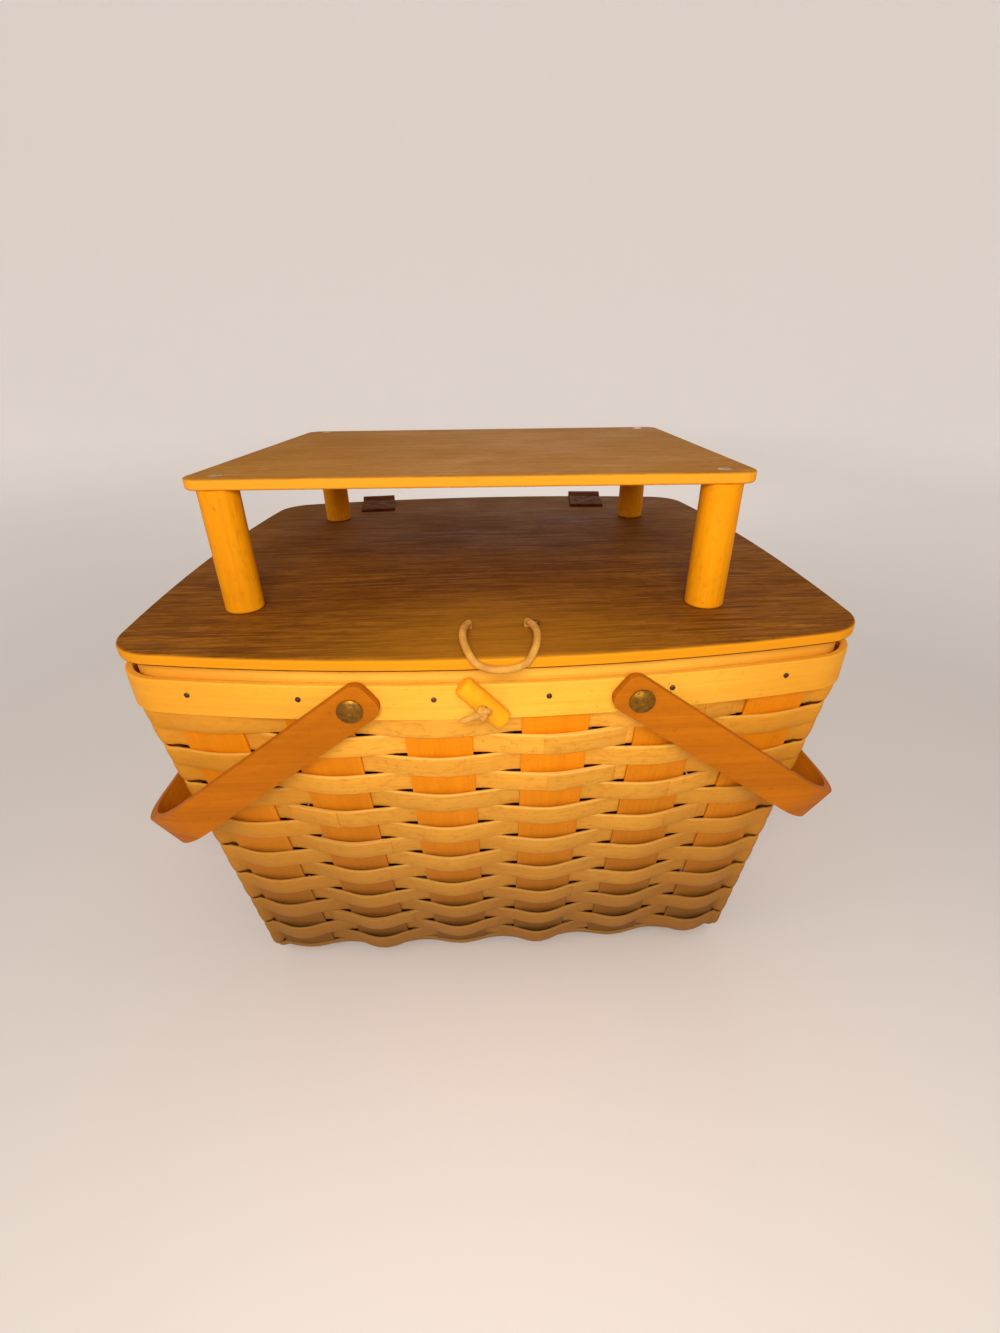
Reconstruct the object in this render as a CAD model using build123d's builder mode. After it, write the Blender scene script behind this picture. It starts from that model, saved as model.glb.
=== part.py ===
from build123d import *

import os
from math import asin, cos, pi, radians, sin, sqrt, tan

os.makedirs("parts", exist_ok=True)

# A splint-woven pie basket: woven walls and base, a bentwood rim, a hinged lid with a loop and
# toggle closure, two swing handles, and the loose shelf that stands on the lid.
# The origin is the middle of the base, +Z is up and the front of the basket faces -Y.

# Walls, measured at the middle of the upright splints
BASE_HALF_X = 145.5
BASE_HALF_Y = 126.0
BASE_CORNER_RADIUS = 7.0
RIM_HALF_X = 171.5
RIM_HALF_Y = 145.1
RIM_BOW_FRONT = 18.4
RIM_BOW_SIDE = 8.1
RIM_CORNER_RADIUS = 23.0

# Splints, which run up one wall, under the base and up the far wall. They are spread evenly, and
# the outer ones keep these margins to the ends of their walls.
SPLINT_WIDTH = 31.75
SPLINT_THICK = 1.2
LENGTHWISE_COUNT = 6
CROSSWISE_COUNT = 5
LENGTHWISE_MARGIN_BASE = 4.6
CROSSWISE_MARGIN_BASE = 10.1
LENGTHWISE_MARGIN_RIM = 17.1
CROSSWISE_MARGIN_RIM = 21.2
BASE_WEAVE_CLEARANCE = 0.1

# Weavers, each a closed hoop that passes in front of one splint and behind the next
WEAVER_COUNT = 16
WEAVER_WIDTH = 12.4
WEAVER_THICK = 1.2
WEAVER_GAP = 0.25
WEAVE_CLEARANCE = 0.15
LOWEST_WEAVER_Z = 3.4

# Rim: an outer band and a taller inner hoop, tacked through the splint ends
BAND_HEIGHT = 17.5
BAND_THICK = 3.6
HOOP_THICK = 3.6
HOOP_RISE = 6.4
RIM_CLEARANCE = 0.3
RIM_EDGE_ROUND = 0.8
SPLINT_TUCK = 0.5
TACK_HEAD_RADIUS = 1.6
TACK_HEAD_THICK = 0.8
TACK_HEIGHT = 10.6
SEAT_GAP = 0.05

# Lid and its leather hinges
LID_THICK = 6.5
LID_OVERHANG = 0.2
LID_CLEARANCE = 0.3
LID_EDGE_ROUND = 1.8
HINGE_SPACING = 190.0
HINGE_WIDTH = 28.0
HINGE_THICK = 2.0
HINGE_ON_LID = 46.0
HINGE_ON_BAND = 14.0
HINGE_CLEARANCE = 0.3
HINGE_HUMP_LENGTH = 9.0
HINGE_HUMP_RISE = 2.2
HINGE_BEND_RADIUS = 1.6
HINGE_TACK_SPACING = 15.0
HINGE_TACK_DROP = 9.0

# Swing handles: a steamed strip bent to a U, one each side, on rivets through the rim
HANDLE_PIVOT_X = 64.2
HANDLE_WIDTH = 20.5
HANDLE_THICK = 4.5
HANDLE_END = 11.5
HANDLE_END_ROUND = 6.0
HANDLE_BEND_RADIUS = 36.0
HANDLE_DROOP = 35.5
HANDLE_RAISED_LEAN = 22.5
HANDLE_CLEARANCE = 0.35
RIVET_SHANK_RADIUS = 2.5
RIVET_RUNNING_FIT = 0.08
RIVET_HEAD_RADIUS = 5.8
RIVET_HEAD_RIM = 0.7
RIVET_HEAD_DOME = 1.6
RIVET_HEAD_GAP = 0.1
RIVET_PEEN_RADIUS = 3.6
RIVET_PEEN_THICK = 1.0
WASHER_RADIUS = 6.0

# Closure: a leather loop on the lid and a wooden toggle on a leather lace
LOOP_X = 2.3
LOOP_DIAMETER = 3.4
LOOP_HOLE_RADIUS = 2.4
LOOP_HALF_SPACING = 14.0
LOOP_HOLE_Y = -135.0
LOOP_SHOULDER_HALF = 16.2
LOOP_SHOULDER_Y = -149.0
LOOP_SHOULDER_RISE = 5.2
LOOP_BEND_HALF = 14.0
LOOP_BEND_Y = -165.0
LOOP_BEND_RISE = 4.6
LOOP_NOSE_HALF = 8.0
LOOP_NOSE_Y = -175.2
LOOP_NOSE_DROP = 2.2
LOOP_CLEARANCE = 0.3
LOOP_KNOT_RADIUS = 3.8
TOGGLE_X = -6.0
TOGGLE_RISE = 3.0
TOGGLE_DIAMETER = 9.5
TOGGLE_LENGTH = 26.5
TOGGLE_END_ROUND = 2.2
TOGGLE_TILT = 43.0
TOGGLE_STANDOFF = 1.2
LACE_DIAMETER = 3.0
LACE_RUNNING_FIT = 0.1
LACE_KNOT_RADIUS = 3.3
LACE_KNOT_GAP = 0.15
LACE_TAIL = 9.0
LACE_TAIL_DROP = 25.0

# Shelf: a thin board on four dowel legs, screwed from above, which stands loose on the lid
SHELF_LENGTH = 267.0
SHELF_DEPTH = 211.0
SHELF_THICK = 5.5
SHELF_CORNER_RADIUS = 9.0
SHELF_EDGE_ROUND = 1.2
SHELF_HEIGHT = 66.3
SHELF_X = -4.5
SHELF_Y = -10.5
SHELF_TURN = -2.8
SHELF_CLEARANCE = 0.1
LEG_DIAMETER = 19.0
LEG_SPACING_X = 237.8
LEG_SPACING_Y = 193.6
LEG_EDGE_ROUND = 1.2
SCREW_HEAD_RADIUS = 3.2
SCREW_SHANK_RADIUS = 1.7
SCREW_LENGTH = 20.0
SCREW_CLEARANCE = 0.08

# Heights that follow from these
ROW_PITCH = WEAVER_WIDTH + WEAVER_GAP
RIM_BOTTOM = LOWEST_WEAVER_Z + WEAVER_COUNT * ROW_PITCH
BAND_TOP = RIM_BOTTOM + BAND_HEIGHT
HOOP_TOP = BAND_TOP + HOOP_RISE
LID_BOTTOM = HOOP_TOP + LID_CLEARANCE
LID_TOP = LID_BOTTOM + LID_THICK
PIVOT_Z = RIM_BOTTOM + BAND_HEIGHT / 2
SHELF_TOP = LID_TOP + SHELF_HEIGHT
SHELF_BOTTOM = SHELF_TOP - SHELF_THICK

# Distances from the middle of the splints, square to the wall
BAND_INNER = SPLINT_THICK / 2 + RIM_CLEARANCE
BAND_OUTER = BAND_INNER + BAND_THICK
HOOP_OUTER = -BAND_INNER
HOOP_INNER = HOOP_OUTER - HOOP_THICK
LID_EDGE = BAND_OUTER + LID_OVERHANG
WEAVE_SHIFT = SPLINT_THICK / 2 + WEAVE_CLEARANCE + WEAVER_THICK / 2
WEAVE_OUTER = WEAVE_SHIFT + WEAVER_THICK / 2
STRAP_OUT = LID_EDGE + HINGE_CLEARANCE
STRAP_FACE = STRAP_OUT + HINGE_THICK
HINGE_TACK_FACE = STRAP_FACE + SEAT_GAP + TACK_HEAD_THICK


def arc_radius(half_chord, bow):
    """Radius of the arc that bows out by bow over twice half_chord."""
    return (half_chord**2 + bow**2) / (2 * bow)


def splint_pitch(half, margin, count):
    """Distance from splint to splint on a wall of that half length."""
    return (half - margin - SPLINT_WIDTH / 2) * 2 / (count - 1)


def front_reach(x, shift=0.0):
    """How far the bowed front, or back, of the rim stands from the middle at x."""
    radius = arc_radius(RIM_HALF_X, RIM_BOW_FRONT)
    return RIM_HALF_Y + RIM_BOW_FRONT - radius + sqrt((radius + shift) ** 2 - x**2)


# A rib is a line up the wall, along one edge of an upright splint or up a rounded corner. It holds
# its points and its outward directions at the base and at the rim, and is straight between them.


class Wall:
    """One of the four walls, from the front round to the left."""

    def __init__(self, number):
        turn = 90 * number
        lengthwise = number % 2 == 0
        self.along = Vector(1, 0, 0).rotate(Axis.Z, turn)
        self.out = Vector(0, -1, 0).rotate(Axis.Z, turn)
        self.count = LENGTHWISE_COUNT if lengthwise else CROSSWISE_COUNT
        base_margin = LENGTHWISE_MARGIN_BASE if lengthwise else CROSSWISE_MARGIN_BASE
        rim_margin = LENGTHWISE_MARGIN_RIM if lengthwise else CROSSWISE_MARGIN_RIM
        self.base_half = BASE_HALF_X if lengthwise else BASE_HALF_Y
        self.base_reach = BASE_HALF_Y if lengthwise else BASE_HALF_X
        self.rim_half = RIM_HALF_X if lengthwise else RIM_HALF_Y
        self.rim_reach = RIM_HALF_Y if lengthwise else RIM_HALF_X
        self.bow = RIM_BOW_FRONT if lengthwise else RIM_BOW_SIDE
        self.radius = arc_radius(self.rim_half, self.bow)
        self.end_turn = asin(self.rim_half / self.radius)
        self.base_pitch = splint_pitch(self.base_half, base_margin, self.count)
        self.rim_pitch = splint_pitch(self.rim_half, rim_margin, self.count)

    def splint_step(self, index):
        """How many splints a splint stands from the middle of the wall."""
        return index - (self.count - 1) / 2

    def splint_head(self, index):
        """Middle of a splint at the rim, and the way it faces there."""
        turn = self.splint_step(index) * self.rim_pitch / self.radius
        reach = self.rim_reach + self.bow - self.radius * (1 - cos(turn))
        head = self.along * (self.radius * sin(turn)) + self.out * reach
        return head, self.along * sin(turn) + self.out * cos(turn)

    def splint_ribs(self, index):
        """The two edges of an upright splint."""
        head, facing = self.splint_head(index)
        across = Vector(-facing.Y, facing.X, 0)
        foot = self.along * (self.splint_step(index) * self.base_pitch) + self.out * self.base_reach
        edges = (-SPLINT_WIDTH / 2, SPLINT_WIDTH / 2)
        return [(foot + self.along * edge, head + across * edge, self.out, facing) for edge in edges]

    def corner_ribs(self, after):
        """Three lines up the rounded corner between this wall and the wall after it."""
        foot = self.along * self.base_half + self.out * self.base_reach
        head = self.along * self.rim_half + self.out * self.rim_reach
        leave = self.along * cos(self.end_turn) - self.out * sin(self.end_turn)
        arrive = after.along * cos(after.end_turn) + after.out * sin(after.end_turn)
        rim_tangent = RIM_CORNER_RADIUS * tan((pi / 2 - self.end_turn - after.end_turn) / 2)
        ribs = []
        for share in (0.2, 0.5, 0.8):
            before = (1 - share) ** 2
            beyond = share**2
            foot_point = foot + (after.along * beyond - self.along * before) * BASE_CORNER_RADIUS
            head_point = head + (arrive * beyond - leave * before) * rim_tangent
            facing = (self.out * (1 - share) + after.out * share).normalized()
            ribs.append((foot_point, head_point, facing, facing))
        return ribs


WALLS = [Wall(number) for number in range(4)]
FRONT, RIGHT, BACK, LEFT = WALLS


def rib_at(rib, z, shift):
    """Point of a rib at height z, moved outward by shift."""
    foot, head, foot_out, head_out = rib
    share = min(z / RIM_BOTTOM, 1)
    facing = foot_out + (head_out - foot_out) * share
    point = foot + (head - foot) * share + facing * shift
    return (point.X, point.Y)


def rim_outline(shift):
    """The bowed outline of the rim, moved outward by shift: the area that four circles share."""
    with BuildSketch() as outline:
        for wall in WALLS:
            with Locations(wall.out * (wall.rim_reach + wall.bow - wall.radius)):
                Circle(wall.radius + shift, mode=Mode.ADD if wall is FRONT else Mode.INTERSECT)
        corners = outline.vertices().sort_by_distance((0, 0, 0))[-len(WALLS):]
        fillet(corners, RIM_CORNER_RADIUS + shift)
    return outline.sketch


def finish(part, label):
    """Name a finished piece and write it."""
    part.label = label
    export_step(part, f"parts/{label}.step")


# Splints. Each is one strip: a woven stretch under the base with an upright wall at each end.

BASE_LIFT = SPLINT_THICK + BASE_WEAVE_CLEARANCE
CROSSING_HALF = SPLINT_WIDTH / 2 + BASE_WEAVE_CLEARANCE


def splint(near, far, side, index, first_level):
    """A whole splint from the near wall to the far wall, woven through those of the side wall."""
    levels = [BASE_LIFT * ((index + crossing + first_level) % 2) for crossing in range(side.count)]
    end = near.base_reach + SPLINT_THICK / 2
    path = [(-end, levels[0])]
    for crossing, level in enumerate(levels):
        place = side.splint_step(crossing) * side.base_pitch
        path += [(place - CROSSING_HALF, level), (place + CROSSING_HALF, level)]
    path.append((end, levels[-1]))
    path += [(place, level + SPLINT_THICK) for place, level in reversed(path)]
    middle = near.along * (near.splint_step(index) * near.base_pitch)
    base_plane = Plane(origin=middle, x_dir=-near.out, z_dir=near.along)
    uprights = [(near, index, levels[0]), (far, far.count - 1 - index, levels[-1])]
    with BuildPart() as strip:
        with BuildSketch(base_plane):
            with BuildLine():
                Polyline(*path, close=True)
            make_face()
        extrude(amount=SPLINT_WIDTH / 2, both=True)
        for wall, place, foot_z in uprights:
            left, right = wall.splint_ribs(place)
            for z in (foot_z, RIM_BOTTOM):
                with BuildSketch(Plane.XY.offset(z)):
                    with BuildLine():
                        inner = [rib_at(left, z, -SPLINT_THICK / 2), rib_at(right, z, -SPLINT_THICK / 2)]
                        outer = [rib_at(right, z, SPLINT_THICK / 2), rib_at(left, z, SPLINT_THICK / 2)]
                        Polyline(*inner, *outer, close=True)
                    make_face()
            loft(ruled=True)
            with BuildSketch(Plane.XY.offset(RIM_BOTTOM)):
                with BuildLine():
                    Polyline(*inner, *outer, close=True)
                make_face()
            extrude(amount=BAND_HEIGHT - SPLINT_TUCK)
    return strip.part


for index in range(LENGTHWISE_COUNT):
    finish(splint(FRONT, BACK, LEFT, index, 0), f"splint_lengthwise_{index + 1}")
for index in range(CROSSWISE_COUNT):
    finish(splint(LEFT, RIGHT, FRONT, index, 1), f"splint_crosswise_{index + 1}")

# Weavers. Each row is a closed hoop through every rib, and it changes sides from splint to splint.


def weaver(row):
    """One row of the weave."""
    low = LOWEST_WEAVER_Z + row * ROW_PITCH
    ribs = []
    for number, wall in enumerate(WALLS):
        first = sum(before.count for before in WALLS[:number])
        for index in range(wall.count):
            side = -1 if (first + index + row) % 2 == 0 else 1
            ribs += [(rib, side * WEAVE_SHIFT) for rib in wall.splint_ribs(index)]
        after = WALLS[(number + 1) % len(WALLS)]
        ribs += [(rib, 0) for rib in wall.corner_ribs(after)]
    with BuildPart() as hoop:
        for face, how in ((WEAVER_THICK / 2, Mode.ADD), (-WEAVER_THICK / 2, Mode.SUBTRACT)):
            for z in (low, low + WEAVER_WIDTH):
                with BuildSketch(Plane.XY.offset(z)):
                    with BuildLine():
                        Polyline(*[rib_at(rib, z, shift + face) for rib, shift in ribs], close=True)
                    make_face()
            loft(ruled=True, mode=how)
    return hoop.part


for row in range(WEAVER_COUNT):
    finish(weaver(row), f"weaver_row_{row + 1:02d}")

# Rim. The rivet holes go through both hoops, between two splints.

RIVET_PLACES = [Plane(origin=(x, 0, PIVOT_Z), z_dir=(0, 1, 0)) for x in (-HANDLE_PIVOT_X, HANDLE_PIVOT_X)]


def rim_hoop(inner, outer, height):
    """A bentwood hoop of the rim, with its rivet holes."""
    with BuildPart() as hoop:
        with BuildSketch(Plane.XY.offset(RIM_BOTTOM)):
            add(rim_outline(outer))
            add(rim_outline(inner), mode=Mode.SUBTRACT)
        extrude(amount=height)
        fillet(hoop.faces().sort_by(Axis.Z)[-1].edges(), RIM_EDGE_ROUND)
        for place in RIVET_PLACES:
            with BuildSketch(place):
                Circle(RIVET_SHANK_RADIUS + RIVET_RUNNING_FIT)
        extrude(amount=front_reach(0, outer), both=True, mode=Mode.SUBTRACT)
    return hoop.part


finish(rim_hoop(BAND_INNER, BAND_OUTER, BAND_HEIGHT), "outer_rim_band")
finish(rim_hoop(HOOP_INNER, HOOP_OUTER, BAND_HEIGHT + HOOP_RISE), "inner_rim_hoop")

STRAP_SPAN = HINGE_WIDTH / 2 + 2 * TACK_HEAD_RADIUS

with BuildPart() as rim_tacks:
    for wall in WALLS:
        for index in range(wall.count):
            head, facing = wall.splint_head(index)
            if wall is BACK and abs(abs(head.X) - HINGE_SPACING / 2) < STRAP_SPAN:
                continue
            seat = head + facing * (BAND_OUTER + SEAT_GAP) + Vector(0, 0, RIM_BOTTOM + TACK_HEIGHT)
            with BuildSketch(Plane(origin=seat, z_dir=facing)):
                Circle(TACK_HEAD_RADIUS)
    extrude(amount=TACK_HEAD_THICK)
finish(rim_tacks.part, "rim_tacks")

# Lid, a solid board in the outline of the rim, with two holes for the loop

LOOP_HOLES = [(LOOP_X + side * LOOP_HALF_SPACING, LOOP_HOLE_Y) for side in (-1, 1)]

with BuildPart() as lid_panel:
    with BuildSketch(Plane.XY.offset(LID_BOTTOM)):
        add(rim_outline(LID_EDGE))
    extrude(amount=LID_THICK)
    fillet(lid_panel.edges().group_by(Axis.Z)[-1], LID_EDGE_ROUND)
    fillet(lid_panel.edges().group_by(Axis.Z)[0], LID_EDGE_ROUND)
    with BuildSketch(Plane.XY.offset(LID_BOTTOM)):
        with Locations(*LOOP_HOLES):
            Circle(LOOP_HOLE_RADIUS)
    extrude(amount=LID_THICK, mode=Mode.SUBTRACT)
finish(lid_panel.part, "lid_panel")

# Leather hinges: straps that lie on the lid, hump over its back edge and hang down the band.
# Each stands square to the bowed back, and its profile runs outward and up from the splints.

STRAP_FOOT = BAND_TOP - HINGE_ON_BAND


def strap_plane(side):
    """Plane through the middle of a strap, outward and up, on the left (-1) or right (1)."""
    turn = asin(HINGE_SPACING / 2 / BACK.radius)
    outward = Vector(side * sin(turn), cos(turn), 0)
    origin = Vector(side * HINGE_SPACING / 2, front_reach(HINGE_SPACING / 2), 0)
    return Plane(origin=origin, x_dir=outward, z_dir=outward.cross(Vector(0, 0, 1)))


def hinge_strap(side):
    """One leather hinge."""
    top = LID_TOP + HINGE_THICK / 2
    out = STRAP_OUT + HINGE_THICK / 2
    hump = LID_EDGE - HINGE_HUMP_LENGTH
    with BuildPart() as strap:
        with BuildSketch(strap_plane(side)):
            with BuildLine():
                FilletPolyline(
                    (LID_EDGE - HINGE_ON_LID, top),
                    (hump, top),
                    (hump + HINGE_HUMP_LENGTH / 2, top + HINGE_HUMP_RISE),
                    (out, top + HINGE_HUMP_RISE),
                    (out, STRAP_FOOT),
                    radius=HINGE_BEND_RADIUS,
                )
            trace(line_width=HINGE_THICK)
        extrude(amount=HINGE_WIDTH / 2, both=True)
    return strap.part


finish(hinge_strap(-1), "hinge_strap_left")
finish(hinge_strap(1), "hinge_strap_right")

with BuildPart() as hinge_tacks:
    for side in (-1, 1):
        middle = strap_plane(side)
        across = middle.z_dir * (HINGE_TACK_SPACING / 2)
        seat = middle.origin + middle.x_dir * (STRAP_FACE + SEAT_GAP)
        for place in (seat - across, seat + across):
            head = place + Vector(0, 0, BAND_TOP - HINGE_TACK_DROP)
            with BuildSketch(Plane(origin=head, z_dir=middle.x_dir)):
                Circle(TACK_HEAD_RADIUS)
    extrude(amount=TACK_HEAD_THICK)
finish(hinge_tacks.part, "hinge_tacks")

# Handles. At rest the lower edge of each bar meets the side wall. The arms pass the hinge tacks,
# and the edge of the lid when the handles swing up and lean over it, with a clearance.

DROOP = radians(HANDLE_DROOP)
LEAN = radians(HANDLE_RAISED_LEAN)
SIDE_WALL_SLOPE = (RIM_HALF_X + RIM_BOW_SIDE - BASE_HALF_X) / RIM_BOTTOM
BAR_EDGE_X = HANDLE_PIVOT_X - HANDLE_WIDTH / 2 * sin(DROOP)
BAR_EDGE_Z = PIVOT_Z - HANDLE_WIDTH / 2 * cos(DROOP)
WALL_FACE_X = BASE_HALF_X + WEAVE_OUTER + HANDLE_CLEARANCE + SIDE_WALL_SLOPE * BAR_EDGE_Z
HANDLE_REACH = (WALL_FACE_X - BAR_EDGE_X) / (cos(DROOP) + SIDE_WALL_SLOPE * sin(DROOP))
LEANING_EDGE_X = HANDLE_PIVOT_X - (LID_TOP - PIVOT_Z) * tan(LEAN) - HANDLE_WIDTH / 2 / cos(LEAN)
PAST_LID_Y = front_reach(LEANING_EDGE_X, LID_EDGE)
PAST_TACKS_Y = front_reach((HINGE_SPACING - HINGE_TACK_SPACING) / 2, HINGE_TACK_FACE)
ARM_INNER_Y = max(PAST_LID_Y, PAST_TACKS_Y) + HANDLE_CLEARANCE
ARM_OUTER_Y = ARM_INNER_Y + HANDLE_THICK


def swing_handle(side):
    """One handle, on the left (-1) or right (1)."""
    arm = Vector(side * cos(DROOP), 0, -sin(DROOP))
    pivot = Vector(side * HANDLE_PIVOT_X, 0, PIVOT_Z)
    arm_y = ARM_INNER_Y + HANDLE_THICK / 2
    bar = HANDLE_REACH + HANDLE_THICK / 2
    with BuildPart() as handle:
        with BuildSketch(Plane(origin=pivot, x_dir=arm, z_dir=arm.cross(Vector(0, 1, 0)))):
            with BuildLine():
                FilletPolyline(
                    (-HANDLE_END, -arm_y),
                    (bar, -arm_y),
                    (bar, arm_y),
                    (-HANDLE_END, arm_y),
                    radius=HANDLE_BEND_RADIUS + HANDLE_THICK / 2,
                )
            trace(line_width=HANDLE_THICK)
        extrude(amount=HANDLE_WIDTH / 2, both=True)
        arm_ends = handle.edges().filter_by(Axis.Y).sort_by(SortBy.LENGTH)[:4]
        fillet(arm_ends, HANDLE_END_ROUND)
        with BuildSketch(Plane(origin=pivot, z_dir=(0, 1, 0))):
            Circle(RIVET_SHANK_RADIUS + RIVET_RUNNING_FIT)
        extrude(amount=ARM_OUTER_Y, both=True, mode=Mode.SUBTRACT)
    return handle.part


finish(swing_handle(-1), "handle_left")
finish(swing_handle(1), "handle_right")

# Rivets, domed outside the arm and peened over inside the rim, with a washer under each arm

RIVET_CORNERS = [(x, y) for x in (-1, 1) for y in (-1, 1)]
PEEN_FACE_Y = front_reach(HANDLE_PIVOT_X + RIVET_PEEN_RADIUS, HOOP_INNER) - SEAT_GAP
HEAD_FACE_Y = ARM_OUTER_Y + RIVET_HEAD_GAP
HEAD_RIM_Y = HEAD_FACE_Y + RIVET_HEAD_RIM
WASHER_FACE_Y = front_reach(HANDLE_PIVOT_X - WASHER_RADIUS, BAND_OUTER) + SEAT_GAP

with BuildPart() as handle_rivets:
    for x, y in RIVET_CORNERS:
        pivot = Vector(x * HANDLE_PIVOT_X, 0, PIVOT_Z)
        with BuildSketch(Plane(origin=pivot, x_dir=(1, 0, 0), z_dir=(0, 0, y))):
            with BuildLine():
                Polyline(
                    (0, HEAD_RIM_Y + RIVET_HEAD_DOME),
                    (0, PEEN_FACE_Y - RIVET_PEEN_THICK),
                    (RIVET_PEEN_RADIUS, PEEN_FACE_Y - RIVET_PEEN_THICK),
                    (RIVET_PEEN_RADIUS, PEEN_FACE_Y),
                    (RIVET_SHANK_RADIUS, PEEN_FACE_Y),
                    (RIVET_SHANK_RADIUS, HEAD_FACE_Y),
                    (RIVET_HEAD_RADIUS, HEAD_FACE_Y),
                    (RIVET_HEAD_RADIUS, HEAD_RIM_Y),
                )
                TangentArc(
                    (0, HEAD_RIM_Y + RIVET_HEAD_DOME),
                    (RIVET_HEAD_RADIUS, HEAD_RIM_Y),
                    tangent=(1, 0),
                )
            make_face()
        revolve(axis=Axis(pivot, (0, 1, 0)))
finish(handle_rivets.part, "handle_rivets")

with BuildPart() as rivet_washers:
    for x, y in RIVET_CORNERS:
        seat = Vector(x * HANDLE_PIVOT_X, y * WASHER_FACE_Y, PIVOT_Z)
        with BuildSketch(Plane(origin=seat, z_dir=(0, y, 0))):
            Circle(WASHER_RADIUS)
            Circle(RIVET_SHANK_RADIUS + RIVET_RUNNING_FIT, mode=Mode.SUBTRACT)
    extrude(amount=ARM_INNER_Y - SEAT_GAP - WASHER_FACE_Y)
finish(rivet_washers.part, "rivet_washers")

# Closure loop, a leather lace that lies forward from its two holes and hangs past the lid's edge.
# It turns up about the line through its ends, which start just clear of the lid.

LOOP_END_Z = LID_TOP + LOOP_CLEARANCE + LOOP_DIAMETER / 2
LOOP_ROUTE = [
    (LOOP_X + LOOP_HALF_SPACING, LOOP_HOLE_Y, LOOP_END_Z),
    (LOOP_X + LOOP_SHOULDER_HALF, LOOP_SHOULDER_Y, LID_TOP + LOOP_SHOULDER_RISE),
    (LOOP_X + LOOP_BEND_HALF, LOOP_BEND_Y, LID_TOP + LOOP_BEND_RISE),
    (LOOP_X + LOOP_NOSE_HALF, LOOP_NOSE_Y, LID_TOP - LOOP_NOSE_DROP),
    (LOOP_X - LOOP_NOSE_HALF, LOOP_NOSE_Y, LID_TOP - LOOP_NOSE_DROP),
    (LOOP_X - LOOP_BEND_HALF, LOOP_BEND_Y, LID_TOP + LOOP_BEND_RISE),
    (LOOP_X - LOOP_SHOULDER_HALF, LOOP_SHOULDER_Y, LID_TOP + LOOP_SHOULDER_RISE),
    (LOOP_X - LOOP_HALF_SPACING, LOOP_HOLE_Y, LOOP_END_Z),
]


def lace_radii(route):
    """Radius of the bend at each point inside a lace's route, as large as its runs allow."""
    points = [Vector(point) for point in route]
    radii = []
    for before, here, after in zip(points, points[1:], points[2:]):
        shorter = min((here - before).length, (after - here).length)
        turn = (here - before).get_angle(after - here)
        radii.append(0.45 * shorter / tan(radians(turn) / 2))
    return radii


with BuildPart() as closure_loop:
    with BuildLine() as loop_route:
        FilletPolyline(*LOOP_ROUTE, radius=lace_radii(LOOP_ROUTE))
    with BuildSketch(Plane(origin=loop_route.line @ 0, z_dir=loop_route.line % 0)):
        Circle(LOOP_DIAMETER / 2)
    sweep()
loop_length = loop_route.wire().length
loop_section = pi * LOOP_DIAMETER**2 / 4
print("loop bend radii, mm:", [round(radius, 1) for radius in lace_radii(LOOP_ROUTE)])
print("loop length, mm:", round(loop_length, 1))
print("loop volume over section times length:", round(closure_loop.part.volume / loop_section / loop_length, 4))
finish(closure_loop.part, "closure_loop")

with BuildPart() as loop_knots:
    for x, y in LOOP_HOLES:
        with BuildSketch(Plane(origin=(x, y, LID_TOP), z_dir=(0, 0, -1))):
            Circle(LOOP_DIAMETER / 2)
        extrude(amount=LID_THICK + SEAT_GAP + LOOP_KNOT_RADIUS)
        with Locations((x, y, LID_BOTTOM - SEAT_GAP - LOOP_KNOT_RADIUS)):
            Sphere(LOOP_KNOT_RADIUS)
finish(loop_knots.part, "loop_knots")

# Toggle, a short dowel that turns on the lace through its middle

TOGGLE_Y = -front_reach(TOGGLE_X, BAND_OUTER) - TOGGLE_STANDOFF - TOGGLE_DIAMETER / 2
TILT = radians(TOGGLE_TILT)
TOGGLE_MIDDLE = Vector(TOGGLE_X, TOGGLE_Y, PIVOT_Z + TOGGLE_RISE)
TOGGLE_AXIS = Vector(-sin(TILT), 0, cos(TILT))
KNOT_Y = TOGGLE_Y - TOGGLE_DIAMETER / 2 - LACE_KNOT_GAP - LACE_KNOT_RADIUS
BAND_FACE_Y = -front_reach(TOGGLE_X, BAND_OUTER) - SEAT_GAP

with BuildPart() as toggle_peg:
    with BuildSketch(Plane(origin=TOGGLE_MIDDLE, z_dir=TOGGLE_AXIS)):
        Circle(TOGGLE_DIAMETER / 2)
    extrude(amount=TOGGLE_LENGTH / 2, both=True)
    fillet(toggle_peg.edges().filter_by(GeomType.CIRCLE), TOGGLE_END_ROUND)
    with BuildSketch(Plane(origin=TOGGLE_MIDDLE, z_dir=(0, 1, 0))):
        Circle(LACE_DIAMETER / 2 + LACE_RUNNING_FIT)
    extrude(amount=TOGGLE_DIAMETER, both=True, mode=Mode.SUBTRACT)
finish(toggle_peg.part, "toggle_peg")

TAIL_DROP = radians(LACE_TAIL_DROP)
KNOT_MIDDLE = Vector(TOGGLE_X, KNOT_Y, TOGGLE_MIDDLE.Z)

with BuildPart() as toggle_tie:
    with BuildSketch(Plane(origin=KNOT_MIDDLE, z_dir=(0, 1, 0))):
        Circle(LACE_DIAMETER / 2)
    extrude(amount=BAND_FACE_Y - KNOT_Y)
    with Locations(KNOT_MIDDLE):
        Sphere(LACE_KNOT_RADIUS)
    with BuildSketch(Plane(origin=KNOT_MIDDLE, z_dir=(-cos(TAIL_DROP), 0, -sin(TAIL_DROP)))):
        Circle(LACE_DIAMETER / 2)
    extrude(amount=LACE_TAIL)
finish(toggle_tie.part, "toggle_tie")

# Shelf. The legs stand on the lid, and a countersunk screw comes down into each from the board.

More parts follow.
